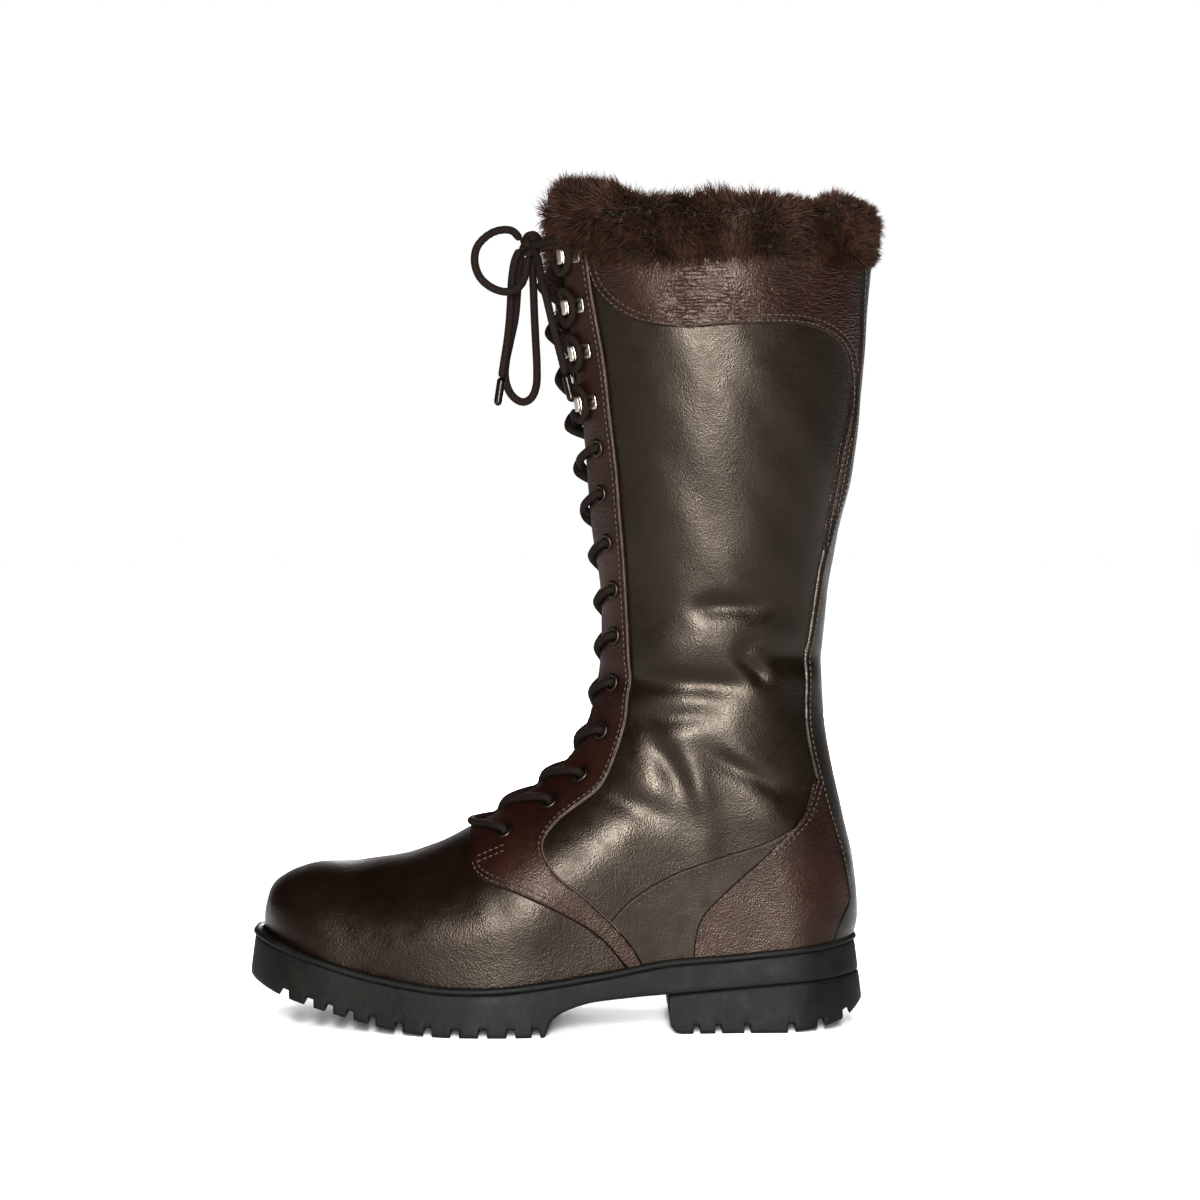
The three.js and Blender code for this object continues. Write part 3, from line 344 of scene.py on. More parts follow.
BACKSTAY_FOOT = seam([(142, 61), (137.2, 51.7), (134, 42.6), (132, 20)])
COUNTER_FRONT = seam([(126, 121), (120.7, 105.9), (104.7, 87.7), (82.6, 67.6), (70, 53), (66, 20)])
QUARTER_TOP = seam([(127, 112), (118.5, 101.5), (104.4, 92.5), (80.5, 84.5), (56.6, 75.9), (36.5, 63.5),
(24, 50)])

OUTLINES = {
    "facing": [(-41, 391), *FACING_UNDER, (40, 18), (50, 18), *FACING_BACK],
    "backstay": [*BACKSTAY_EDGE, *BACKSTAY_FOOT[1:], (175, 20), (175, 391)],
    "collar": [*COLLAR_UNDER, (175, 226), (175, 391)],
    "counter": [*COUNTER_FRONT, (175, 20), (175, 121)],
    "quarter": [*QUARTER_TOP, (40, 30), (42, 18), (135, 18)],
    "shaft": [
        *QUARTER_TOP[:-1], (24, 50), (8, 66), (-12, 80), (-14, 92), (-3, 105), (14, 119), (25, 135), (29,
        160),
        (29.5, 190), (27, 240), (22, 290), (18, 325), (13.5, 350), (9.5, 391), (175, 391), (175, 112),
    ],
    "vamp": [
        (-175, 10), (-175, 130), (THROAT, 130), (THROAT, 74), *FACING_UNDER[FACING_UNDER[:, 0] > THROAT],
        (38, 10),
    ],
}
# How far each panel's face stands out from the body, and how far the panels under it run on beneath it.
PANEL_HEIGHT = {
    "shaft": 0.0, "vamp": 0.0, "quarter": 0.7, "collar": 0.8, "counter": 1.3, "facing": 1.5, "backstay": 1.6,
}
UNDERLAP = 6
LEATHER_THICK = 1.6
EDGE_ROLL = 1.2


def outline_field(outline, x, z):
    """Signed distance to a closed side-view outline, positive inside."""
    outline = np.asarray(outline, float)
    a, b = outline, np.roll(outline, -1, axis=0)
    step = b - a
    made = np.empty(len(x))
    for start in range(0, len(x), 20000):
        part = slice(start, start + 20000)
        px, pz = x[part][:, None], z[part][:, None]
        t = np.clip(((px - a[:, 0]) * step[:, 0] + (pz - a[:, 1]) * step[:, 1]) / (step**2).sum(1), 0, 1)
        gap = np.hypot(px - a[:, 0] - t * step[:, 0], pz - a[:, 1] - t * step[:, 1]).min(axis=1)
        spans = (a[:, 1] > pz) != (b[:, 1] > pz)
        rise = np.where(np.abs(step[:, 1]) < 1e-9, 1e-9, step[:, 1])
        left = px < a[:, 0] + (pz - a[:, 1]) * step[:, 0] / rise
        inside = (spans & left).sum(axis=1) % 2 == 1
        made[part] = np.where(inside, gap, -gap)
    return made


# ------------------------------------------------------------------ folds of the leather

# A crease is a line in the side view: points, depth, half width. A bulge is a soft mound: centre, half
# length, half height, turn in degrees, height.
CREASES = (
    (((20, 168.5), (46, 168.5), (70, 167), (90, 166.5), (106, 168)), 3.0, 6.2),
    (((28, 151), (50, 151), (70, 152), (90, 156)), 1.3, 5.6),
    (((97, 181), (106, 181), (116, 180), (130, 178)), 2.6, 6.5),
    (((87, 181.8), (94, 185), (103, 190)), 1.6, 3.6),
    (((87, 181.8), (95, 176), (105, 166)), 2.6, 4.2),
    (((62, 203), (84, 204.5), (108, 203)), 2.8, 5.2),
    (((68, 137), (84, 129), (100, 121), (118, 112)), 1.8, 5.2),
    (((16, 118), (34, 112), (50, 105), (62, 98)), 2.0, 7.5),
    (((43, 148), (51, 136), (59, 124), (66, 113)), 2.2, 6.5),
    (((-30, 66), (-24, 58), (-22, 48)), 0.5, 4.5),
)
BULGES = (
    ((68, 186), 22, 9, 0, 1.0),
    ((60, 143), 18, 7, 12, 0.9),
    ((70, 117), 6.5, 15, 20, 1.5),
    ((74, 92), 8, 14, 0, 1.0),
    ((104, 102), 18, 9, -20, 0.8),
    ((-8, 52), 16, 10, 20, 0.6),
    ((-60, 52), 26, 10, -6, 0.5),
    ((88, 225), 28, 13, 0, 0.5),
)


def relief(x, z, side):
    """How far the folds move the leather out, at side-view places."""
    x, z, side = (np.asarray(v, float) for v in np.broadcast_arrays(x, z, side))
    out = np.zeros(x.shape)
    shifted = np.array([4.0, -5.0]) if side.mean() > 0 else np.zeros(2)  # so that the two sides don't match
    for line, depth, wide in CREASES:
        path = seam(np.asarray(line, float) + shifted, 1.0)
        along = np.linspace(0, 1, len(path))
        fade = smooth(along / 0.35) * smooth((1 - along) / 0.35)
        for p, strength in zip(path, fade):
            near = np.exp(-((x - p[0]) ** 2 + (z - p[1]) ** 2) / wide**2)
            out -= depth * strength * near / (wide * math.sqrt(math.pi))
    for (cx, cz), long, high, turn, rise in BULGES:
        c, s = math.cos(math.radians(turn)), math.sin(math.radians(turn))
        u = ((x - cx) * c + (z - cz) * s) / long
        v = ((z - cz) * c - (x - cx) * s) / high
        out += rise * np.exp(-(u * u + v * v))
    ripple = np.sin(x * 0.11 + 0.7 * side) * np.sin(z * 0.083 + x * 0.02 + 1.3)
    ripple = ripple + 0.6 * np.sin(x * 0.21 + z * 0.16 + side)
    return out + 0.22 * ripple * smooth((z - 40) / 30)


def on_skin(places, side, out=0.0):
    """Points on the leather, folds included, and the outward directions."""
    places = np.asarray(places, float).reshape(-1, 2)
    return surface_at(places, side, relief(places[:, 0], places[:, 1], np.full(len(places), side)) + out)


# ------------------------------------------------------------------ meshes and finishes


def put(tree, socket, value):
    """Links a socket to another one, or sets it; a colour of three parts gets its alpha."""
    if isinstance(value, bpy.types.NodeSocket):
        tree.links.new(value, socket)
    elif socket.type == "RGBA" and len(value) == 3:
        socket.default_value = (*value, 1)
    else:
        socket.default_value = value


def fed(tree, kind, values, **settings):
    """The first output of a new node whose first inputs hold the values."""
    made = tree.nodes.new("ShaderNode" + kind)
    for key, value in settings.items():
        setattr(made, key, value)
    for socket, value in zip(made.inputs, values):
        put(tree, socket, value)
    return made.outputs[0]


class Finish:
    """A procedural material, written as a chain of nodes in the piece's own millimetres."""

    def __init__(self, name, **shader):
        self.material = bpy.data.materials.new(name)
        self.material.use_nodes = True
        self.tree = self.material.node_tree
        self.shader = self.tree.nodes["Principled BSDF"]
        self.set(**shader)
        place = self.tree.nodes.new("ShaderNodeTexCoord").outputs["Object"]
        self.mm = self.vector("MULTIPLY", place, (1000, 1000, 1000))
        self.bumped = None

    def set(self, **inputs):
        for key, value in inputs.items():
            put(self.tree, self.shader.inputs[key.replace("_", " ")], value)

    def node(self, kind, settings=None, output=0, **inputs):
        made = self.tree.nodes.new("ShaderNode" + kind)
        for key, value in (settings or {}).items():
            setattr(made, key, value)
        for key, value in inputs.items():
            put(self.tree, made.inputs[key.replace("_", " ")], value)
        return made.outputs[output]

    def math(self, operation, *values):
        return fed(self.tree, "Math", values, operation=operation)

    def vector(self, operation, *values):
        return fed(self.tree, "VectorMath", values, operation=operation)

    def attribute(self, name):
        return self.node("Attribute", {"attribute_name": name}, "Fac")

    def stretched(self, scale):
        return self.vector("MULTIPLY", self.mm, scale)

    def noise(self, size, detail=3.0, rough=0.55, place=None):
        return self.node(
            "TexNoise", None, "Fac", Vector=place or self.mm, Scale=1 / size, Detail=detail, Roughness=rough
        )

    def cells(self, size, feature="F1", place=None):
        return self.node(
            "TexVoronoi", {"feature": feature}, "Distance", Vector=place or self.mm, Scale=1 / size,
            Randomness=1.0
        )

    def between(self, value, low, high, to_low=0.0, to_high=1.0):
        return fed(self.tree, "MapRange", (value, low, high, to_low, to_high))

    def mix(self, factor, a, b, blend="MIX"):
        made = self.tree.nodes.new("ShaderNodeMix")
        made.data_type = "RGBA"
        made.blend_type = blend
        put(self.tree, made.inputs[0], factor)
        put(self.tree, made.inputs[6], a)
        put(self.tree, made.inputs[7], b)
        return made.outputs[2]

    def bump(self, height, distance):
        """Adds a bump of some millimetres to the ones before it."""
        made = self.tree.nodes.new("ShaderNodeBump")
        made.inputs["Strength"].default_value = 1.0
        made.inputs["Distance"].default_value = distance / 1000
        put(self.tree, made.inputs["Height"], height)
        if self.bumped:
            put(self.tree, made.inputs["Normal"], self.bumped)
        self.bumped = made.outputs[0]
        put(self.tree, self.shader.inputs["Normal"], self.bumped)


def leather(name, dark, light, gloss, grain, wrinkle=0.0):
    """Leather with a fine pebble grain, cloudy colour, darker seams and an oiled shine."""
    finish = Finish(name, Roughness=gloss, Specular_IOR_Level=0.26, Specular_Tint=(1.0, 0.87, 0.74))
    edge = finish.attribute("edge")
    cloud = finish.noise(38, 4)
    tone = finish.mix(finish.between(cloud, 0.35, 0.68), dark, light)
    seam_shade = finish.between(edge, 0.0, 4.5, 0.45, 1.0)
    pores = finish.cells(0.9)
    tone = finish.mix(finish.between(pores, 0.0, 0.5, 0.22, 0.0), tone, tuple(c * 0.35 for c in dark))
    tone = finish.mix(1.0, tone, seam_shade, "MULTIPLY")
    finish.set(Base_Color=tone)
    finish.set(Roughness=finish.between(finish.noise(9, 4), 0.3, 0.7, gloss - 0.05, gloss + 0.1))
    if wrinkle:
        lying = finish.stretched((0.22, 0.22, 0.9))
        drift = finish.node("TexNoise", None, "Color", Vector=finish.mm, Scale=0.12)
        bent = finish.vector("ADD", lying, finish.vector("SCALE", drift))
        cracks = finish.cells(1.7, "DISTANCE_TO_EDGE", bent)
        patch = finish.between(finish.noise(26, 2), 0.36, 0.6)
        groove = finish.math("MULTIPLY", finish.between(cracks, 0.0, 0.22, 1.0, 0.0), patch)
        finish.bump(groove, -0.26 * wrinkle)
    finish.bump(pores, 0.10 * grain)
    finish.bump(finish.noise(0.5, 2), 0.07 * grain)
    finish.bump(finish.noise(5, 3), 0.16 * grain)
    return finish.material


def rubber():
    finish = Finish("matt_rubber", Specular_IOR_Level=0.13)
    speckle = finish.noise(0.8, 3)
    worn = finish.noise(14, 4)
    tone = finish.mix(finish.between(worn, 0.35, 0.7), (0.0030, 0.0030, 0.0025), (0.0060, 0.0060, 0.0050))
    finish.set(Base_Color=finish.mix(finish.between(speckle, 0.62, 0.75, 0, 0.25), tone, (0.03, 0.029,
    0.025)))
    finish.set(Roughness=finish.between(worn, 0.3, 0.7, 0.5, 0.68))
    finish.bump(speckle, 0.10)
    finish.bump(finish.noise(6, 2), 0.25)
    return finish.material


def thread(name, dark, light):
    finish = Finish(name, Roughness=0.62)
    twist = finish.noise(0.6, 2)
    tone = finish.mix(finish.between(finish.noise(7, 3), 0.35, 0.65), dark, light)
    finish.set(Base_Color=finish.mix(finish.between(twist, 0.4, 0.7, 0.0, 0.6), tone, tuple(c
    * 0.4 for c in dark)))
    finish.bump(twist, 0.12)
    return finish.material


def lace_weave():
    finish = Finish("lace_weave", Roughness=0.82, Specular_IOR_Level=0.14)
    strand = finish.noise(0.45, 2)
    tone = finish.mix(finish.between(strand, 0.3, 0.7), (0.003, 0.0015, 0.0010), (0.011, 0.0060, 0.0040))
    worn = finish.between(finish.noise(11, 2), 0.4, 0.7, 0, 0.5)
    finish.set(Base_Color=finish.mix(worn, tone, (0.0075, 0.0038, 0.0026)))
    finish.bump(strand, 0.2)
    finish.bump(finish.cells(0.55), 0.15)
    return finish.material


def fur_look(name, root, tip):
    finish = Finish(name, Roughness=0.6, Specular_IOR_Level=0.12)
    along = finish.attribute("along")
    tone = finish.attribute("tone")
    shade = finish.mix(finish.between(along, 0.1, 1.0), root, tip)
    patch = finish.between(finish.noise(17, 3), 0.35, 0.68, 0.55, 1.25)
    shade = finish.mix(1.0, shade, patch, "MULTIPLY")
    finish.set(Base_Color=finish.mix(1.0, shade, finish.between(tone, 0, 1, 0.55, 1.35), "MULTIPLY"))
    return finish.material


def metal(name, tone, rough, scratch):
    finish = Finish(name, Metallic=1.0)
    worn = finish.noise(1.6, 5)
    finish.set(Base_Color=finish.mix(finish.between(worn, 0.45, 0.75, 0, 0.5), tone, tuple(c
    * 0.4 for c in tone)))
    finish.set(Roughness=finish.between(worn, 0.3, 0.7, rough, rough + 0.2))
    finish.bump(finish.noise(0.5, 2, place=finish.stretched((0.2, 1.0, 2.0))), scratch)
    return finish.material


def fibre(name, dark, light, size):
    finish = Finish(name, Roughness=0.92)
    strand = finish.noise(size, 5, 0.7)
    finish.set(Base_Color=finish.mix(finish.between(strand, 0.35, 0.65), dark, light))
    finish.bump(strand, 0.4)
    return finish.material


RED_BROWN = (0.0066, 0.0019, 0.0011), (0.0135, 0.0042, 0.0025)
# Leathers: dark and light tone, roughness, grain, and wrinkles where there are any.
LOOKS = {
    "vamp_leather": leather("oiled_vamp_leather", (0.0034, 0.0015, 0.0007), (0.0062, 0.0028, 0.0014), 0.34,
    1.0),
    "shaft_leather": leather("oiled_shaft_leather", (0.0032, 0.0018, 0.0009), (0.0058, 0.0034, 0.0018),
    0.33, 0.8),
    # The quarter is the shaft's leather made rougher and darker. Its darker colour is painted shade on the
    # lower quarter.
    "painted_shade_quarter_leather": leather(
        "matt_quarter_with_painted_shade", (0.0026, 0.0015, 0.0008), (0.0050, 0.0030, 0.0017), 0.5, 0.8
    ),
    "trim_leather": leather("red_brown_trim_leather", *RED_BROWN, 0.36, 1.5),
    "collar_leather": leather("wrinkled_collar_leather", *RED_BROWN, 0.34, 1.4, 1.0),
    "tongue_leather": leather("dark_tongue_leather", (0.0050, 0.0018, 0.0010), (0.0095, 0.0036, 0.0020),
    0.5, 1.5),
    "rubber": rubber(),
    "thread": thread("brown_thread", (0.016, 0.009, 0.005), (0.040, 0.022, 0.013)),
    "piping": thread("tan_cord_edge", (0.018, 0.008, 0.0045), (0.042, 0.020, 0.012)),
    "lace": lace_weave(),
    "aglet": leather("smooth_aglet_film", (0.006, 0.005, 0.005), (0.012, 0.010, 0.009), 0.25, 0.3),
    "fur": fur_look("brown_fur", (0.005, 0.0024, 0.0015), (0.046, 0.0225, 0.0135)),
    "pelt": fibre("fur_ground", (0.010, 0.006, 0.004), (0.030, 0.018, 0.012), 0.9),
    "lining": fibre("fleece_lining", (0.016, 0.010, 0.007), (0.060, 0.038, 0.027), 1.1),
    "footbed": fibre("felt_footbed", (0.035, 0.025, 0.018), (0.075, 0.055, 0.042), 0.8),
    "board": fibre("pressed_board", (0.20, 0.15, 0.10), (0.34, 0.26, 0.18), 0.5),
    "stiffener": fibre("nonwoven_stiffener", (0.34, 0.30, 0.24), (0.5, 0.46, 0.38), 0.4),
    "nickel": metal("worn_nickel", (0.36, 0.33, 0.28), 0.24, 0.05),
    "dark_metal": metal("gunmetal", (0.055, 0.042, 0.034), 0.34, 0.05),
    "steel": metal("rolled_steel", (0.42, 0.43, 0.44), 0.28, 0.15),
}


def make(name, points, faces, look, body=BODY, stands_for=(), slot=None, values=None):
    """A smooth mesh from drawing-frame points in mm, riding a body."""
    faces = np.ascontiguousarray(faces, dtype=np.int32)
    points = row(points)
    mesh = bpy.data.meshes.new(name)
    mesh.vertices.add(len(points))
    mesh.vertices.foreach_set("co", points.astype(np.float32).ravel())
    mesh.loops.add(faces.size)
    mesh.loops.foreach_set("vertex_index", faces.ravel())
    mesh.polygons.add(len(faces))
    mesh.polygons.foreach_set("loop_start", np.arange(0, faces.size, faces.shape[1], dtype=np.int32))
    mesh.polygons.foreach_set("use_smooth", np.ones(len(faces), dtype=bool))
    mesh.update(calc_edges=True)
    for key, value in (values or {}).items():
        mesh.attributes.new(key, "FLOAT", "POINT").data.foreach_set("value", np.asarray(value, np.float32))
    mesh.materials.append(LOOKS[look])
    made = bpy.data.objects.new(name, mesh)
    bpy.context.scene.collection.objects.link(made)
    bpy.context.view_layer.update()
    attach(made, body)
    if stands_for:
        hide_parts(*stands_for)
    return made


def join(parts):
    """Several (points, faces) as one."""
    points, faces, first = [], [], 0
    for p, f in parts:
        points.append(p)
        faces.append(np.asarray(f) + first)
        first += len(p)
    return np.concatenate(points), np.concatenate(faces)


def ring_faces(rings, around):
    """Quads between closed rings of equal length."""
    i, j = np.meshgrid(np.arange(rings - 1), np.arange(around), indexing="ij")
    k = (j + 1) % around
    quads = np.stack([i * around + j, i * around + k, (i + 1) * around + k, (i + 1) * around + j], axis=-1)
    return quads.reshape(-1, 4)


def halved(quads):
    """Two triangles for each quad."""
    return np.concatenate([quads[:, [0, 1, 2]], quads[:, [0, 2, 3]]])


def grid_triangles(index):
    """Triangles of a grid, from the numbers of its points."""
    return halved(np.stack([index[:-1, :-1], index[:-1, 1:], index[1:, 1:], index[1:, :-1]],
        axis=-1).reshape(-1, 4))


def closed_off(rings):
    """Points and quads through rings of points, the two ends drawn to their middles."""
    rings = np.asarray(rings)
    around = rings.shape[1]
    first, last = (np.repeat(ring.mean(axis=0)[None, None], around, axis=1) for ring in (rings[0], rings[-1]))
    whole = np.concatenate([first, rings, last])
    return whole.reshape(-1, 3), ring_faces(len(whole), around)


def frames_along(path):
    """Two directions across a path that don't twist along it."""
    path = np.asarray(path, float)
    way = unit(np.gradient(path, axis=0))
    first = np.cross(way[0], (0.0, 0.3, 1.0))
    if np.linalg.norm(first) < 0.1:
        first = np.cross(way[0], (1.0, 0.0, 0.0))
    across = [unit(first)]
    for a in way[1:]:
        v = across[-1] - a * np.dot(across[-1], a)
        across.append(unit(v))
    across = np.array(across)
    return across, np.cross(way, across)


def tube(path, radius, sides, braid=0.0):
    """Points and quads of a tube with rounded ends; a braid raises crossing ridges on it."""
    path = np.asarray(path, float)
    u, v = frames_along(path)
    turn = 2 * np.pi * np.arange(sides) / sides
    length = lengths(path)
    r = np.full((len(path), sides), float(radius))
    if braid:
        lead = length[:, None] * 2.1
        left = np.cos(sides / 4 * turn[None, :] + lead)
        right = np.cos(sides / 4 * turn[None, :] - lead)
        r = r * (1 + braid * (np.maximum(left, right) - 0.6))
    ends = np.minimum(length, length[-1] - length) / radius
    r = r * np.sqrt(np.clip(ends, 0.04, 1) * (2 - np.clip(ends, 0, 1)))[:, None]
    points = path[:, None, :] + r[..., None] * (
        np.cos(turn)[None, :, None] * u[:, None, :] + np.sin(turn)[None, :, None] * v[:, None, :]
    )
    return points.reshape(-1, 3), ring_faces(len(path), sides)


# ------------------------------------------------------------------ the free cords: the bow's loops and ends

LACE = 1.9
KNOT = np.array([-10.5, 0, 380])
KNOT_HALF = np.array([5, 7.5, 6])
AGLET = 14
BRAID = 0.07  # how far the weave stands out, as a part of the radius
LOOSE_LACE = {
    "loop_outer": (
        (-15.9, -2, 382.2), (-20, -4.5, 386.2), (-26, -6.5, 386.4), (-32, -8, 383.6), (-37, -9.5, 377.8),
        (-38, -10.5, 370.6), (-35.5, -11, 363.4), (-29.5, -10.5, 358.2), (-22.5, -9.5, 356.4), (-16.5, -8,
        358.8),
        (-13.6, -6.5, 364.5), (-12.8, -5.2, 370), (-12.2, -4.2, 373.9),
    ),
    "loop_inner": (
        (-15.6, 4, 377), (-16.8, 5.5, 369), (-17.6, 6.5, 359), (-18.8, 7.2, 345), (-21.2, 8, 333.5),
        (-23.4, 8.5, 323), (-23.8, 8.8, 315.5), (-21.6, 9, 308.2), (-18, 9, 304.4), (-14.4, 9, 303.4),
        (-10.8, 8.8, 305.6), (-8.6, 8.4, 311), (-8.2, 7.8, 320), (-8.8, 7, 333), (-9.4, 6, 346), (-9.8, 4.8,
        358),
        (-10.2, 3.8, 367), (-10.4, 3.4, 373.2),
    ),
    "end_outer": (
        (-7.8, -6.8, 374.4), (-6.8, -11.5, 369), (-5.6, -17, 362), (-3.6, -21.5, 355), (-1.9, -23.4, 348),
        (1, -25, 336), (4.2, -27.4, 324), (6.2, -28.6, 315.7),
    ),
    "end_inner": (
        (-16.4, -0.6, 377.6), (-18.8, -0.4, 372), (-20.2, 0, 364), (-20.8, 0.6, 354), (-21.4, 1.2, 344),
        (-22.6, 1.8, 333), (-24.2, 2.2, 323), (-25.4, 2.4, 315),
    ),
}


def add_bow():
    for name, route in LOOSE_LACE.items():
        path = seam(route, 0.7)
        shape, faces = tube(path, LACE, 20, BRAID)
        cord = make(f"bow_{name}", shape, faces, "lace", stands_for=(f"lace_{name}",), slot="lace")
        on_it = ()
        if name.startswith("end"):
            word = name.split("_")[1]
            tip = path[-1] + unit(path[-1] - path[-3]) * np.linspace(-0.3, AGLET - 0.3, 24)[:, None]
            shape, faces = tube(tip, LACE + 0.15, 20)
            on_it = (make(f"lace_tip_{word}", shape, faces, "aglet", stands_for=(f"aglet_{word}",),
                slot="aglet"),)
    turn = np.linspace(0, 2 * np.pi, 121)
    trefoil = np.stack([
        np.sin(turn) + 2 * np.sin(2 * turn), np.sin(3 * turn), np.cos(turn) - 2 * np.cos(2 * turn),
    ], axis=1)
    fitted = KNOT + trefoil / np.array([2.75, 1.0, 3.0]) * (KNOT_HALF - LACE)
    wrap = np.stack([
        KNOT_HALF[0] * 0.72 * np.cos(turn), 2.6 * np.sin(turn * 0.5) - 1.2, KNOT_HALF[2] * 0.8 * np.sin(turn),
    ], axis=1) + KNOT
    parts = [tube(line, LACE, 18, BRAID) for line in (fitted, wrap)]
    for name, route in LOOSE_LACE.items():
        for end in (route[0], route[-1])[:1 if name.startswith("end") else 2]:
            inner = [lerp(KNOT, np.array(end), way) for way in (0, 0.45, 1.02)]
            parts.append(tube(seam(inner, 0.8), LACE, 18, BRAID))
    make("bow_knot", *join(parts), "lace", stands_for=("lace_knot",), slot="lace")


add_bow()

# ------------------------------------------------------------------ leather panels from one sheet

COLUMNS = 110
RING_PITCH = 1.7
SMOOTH_ALL, SMOOTH_TOE = 8, 40  # rounds of smoothing, of the whole sheet and then of the toe alone


def at_section(line, s):
    """Points of a profile at section numbers s."""
    return sample(s * SPAN, np.arange(len(line)), line)


def ring_stops(pitch):
    """Section numbers at an even pitch in space."""
    s = np.concatenate([np.linspace(0, 1, 150)[:-1] ** 2, np.linspace(1, len(SECTIONS) - 1, 1400)])
    steps = []
    for v in (0, 0.5, 0.85):
        xz = lerp(at_section(LOW, s), at_section(HIGH, s), v)
        for _, side in SIDES:
            track = np.column_stack([xz, surface_y(xz[:, 0], xz[:, 1], side)])
            steps.append(np.linalg.norm(np.diff(track, axis=0), axis=1))
    length = np.concatenate([[0], np.cumsum(np.max(steps, axis=0))])
    count = int(length[-1] / pitch)
    return np.interp(np.linspace(0, length[-1], count), length, s)


def relaxed(points):
    """A grid of points with each inner one drawn towards its four neighbours."""
    grown = points.copy()
    around = points[:-2, 1:-1] + points[2:, 1:-1] + points[1:-1, :-2] + points[1:-1, 2:]
    grown[1:-1, 1:-1] = 0.5 * points[1:-1, 1:-1] + 0.125 * around
    return grown


def make_sheet():
    """The outer surface as one sheet, outer side to inner side over the front: points, sides, triangles."""
    s = ring_stops(RING_PITCH)
    t = (1 - np.cos(np.pi * np.arange(COLUMNS + 1) / COLUMNS)) / 2
    low, high = at_section(LOW, s), at_section(HIGH, s)
    xz = lerp(low[:, None, :], high[:, None, :], t[None, :, None])
    closed = s >= HEEL_SECTION
    halves = []
    for _, side in SIDES:
        half = half_width(xz[..., 0], xz[..., 1], side)
        half[:, -1] = 0
        half[closed, 0] = 0
        halves.append(np.stack([xz[..., 0], swing(xz[..., 0], xz[..., 1]) + side * half, xz[..., 1]],
        axis=-1))
    points = np.concatenate([halves[0], halves[1][:, -2::-1]], axis=1)
    rings, across = points.shape[:2]
    for _ in range(SMOOTH_ALL):
        grown = relaxed(points)
        back_seam = 0.5 * points[:, 0] + 0.25 * (points[:, 1] + points[:, -2])
        grown[closed, 0] = grown[closed, -1] = back_seam[closed]
        points = grown
    toe = smooth((3.5 - s) / 1.5)[:, None, None]
    for _ in range(SMOOTH_TOE):
        points = lerp(points, relaxed(points), toe)
    index = np.arange(rings * across).reshape(rings, across)
    index[closed, -1] = index[closed, 0]
    sides = np.broadcast_to(np.where(np.arange(across) <= COLUMNS, -1.0, 1.0), (rings, across))
    return points.reshape(-1, 3), sides.ravel().copy(), grid_triangles(index)


def vertex_normals(points, triangles):
    a, b, c = (points[triangles[:, k]] for k in range(3))
    face = np.cross(b - a, c - a)
    total = np.zeros_like(points)
    for k in range(3):
        np.add.at(total, triangles[:, k], face)
    return unit(total)


SHEET, SHEET_SIDE, SHEET_FACES = make_sheet()
SHEET_NORMAL = vertex_normals(SHEET, SHEET_FACES)
if (SHEET_NORMAL[:, 1] * SHEET_SIDE).mean() < 0:
    SHEET_NORMAL = -SHEET_NORMAL
    SHEET_FACES = SHEET_FACES[:, ::-1]
SHEET_X, SHEET_Y, SHEET_Z = SHEET.T
SHEET_RELIEF = np.where(SHEET_SIDE < 0, *(relief(SHEET_X, SHEET_Z, side) for side in (-1.0, 1.0)))
FIELDS = {name: outline_field(outline, SHEET_X, SHEET_Z) for name, outline in OUTLINES.items()}
GAP_FIELD = np.abs(SHEET_Y) - through(LACING_HALF, SHEET_Z)
FRONT_HALF = SHEET_X < FRONT_ENDS


def split(data, faces, column, level):
    """Cuts triangles along a level of one column of their vertex data."""
    gap = data[:, column] - level
    gap[np.abs(gap) < 2e-3] = 0
    sign = np.sign(gap)
    edges = np.stack([faces, np.roll(faces, -1, axis=1)], axis=-1)
    crossing = sign[edges[..., 0]] * sign[edges[..., 1]] < 0
    if not crossing.any():
        return data, faces
    keys, inverse = np.unique(np.sort(edges[crossing], axis=1), axis=0, return_inverse=True)
    t = gap[keys[:, 0]] / (gap[keys[:, 0]] - gap[keys[:, 1]])
    made = lerp(data[keys[:, 0]], data[keys[:, 1]], t[:, None])
    made[:, column] = level
    middle = np.full(faces.shape, -1)
    middle[crossing] = len(data) + inverse.ravel()
    count = crossing.sum(axis=1)
    parts = [faces[count == 0]]
    for e in range(3):
        i, j, k = e, (e + 1) % 3, (e + 2) % 3
        one = (count == 1) & crossing[:, e]
        f, m = faces[one], middle[one, e]
        parts += [np.stack([f[:, i], m, f[:, k]], 1), np.stack([m, f[:, j], f[:, k]], 1)]
        two = (count == 2) & ~crossing[:, e]
        f, m1, m2 = faces[two], middle[two, k], middle[two, j]
        parts += [np.stack([f[:, k], m1, m2], 1), np.stack([m1, f[:, i], f[:, j]], 1), np.stack([m1, f[:,
            j], m2], 1)]
    return np.concatenate([data, made]), np.concatenate(parts)


def patch(field, levels):
    """The part of the sheet where a field is positive: points, normals, relief, field values, triangles."""
    near = field[SHEET_FACES].max(axis=1) > 0
    data = np.column_stack([SHEET, SHEET_NORMAL, SHEET_RELIEF, field])
    field_column = data.shape[1] - 1
    faces = SHEET_FACES[near]
    for level in levels:
        data, faces = split(data, faces, field_column, level)
    faces = faces[data[faces, field_column].mean(axis=1) > levels[0]]
    used, faces = np.unique(faces, return_inverse=True)
    data = data[used]
    return data[:, :3], data[:, 3:6], data[:, 6], data[:, field_column], faces.reshape(-1, 3)


def add_panel(name, field, height, look, stands_for, slot):
    points, normal, folds, inside, faces = patch(field, [part * EDGE_ROLL for part in (0, 0.12, 0.4, 1)])
    out = folds + lerp(-LEATHER_THICK, height, quarter_round(inside / EDGE_ROLL))
    points = points + normal * out[:, None]
    make(name, points, faces, look, stands_for=stands_for, slot=slot, values={"edge": np.minimum(inside, 30)})


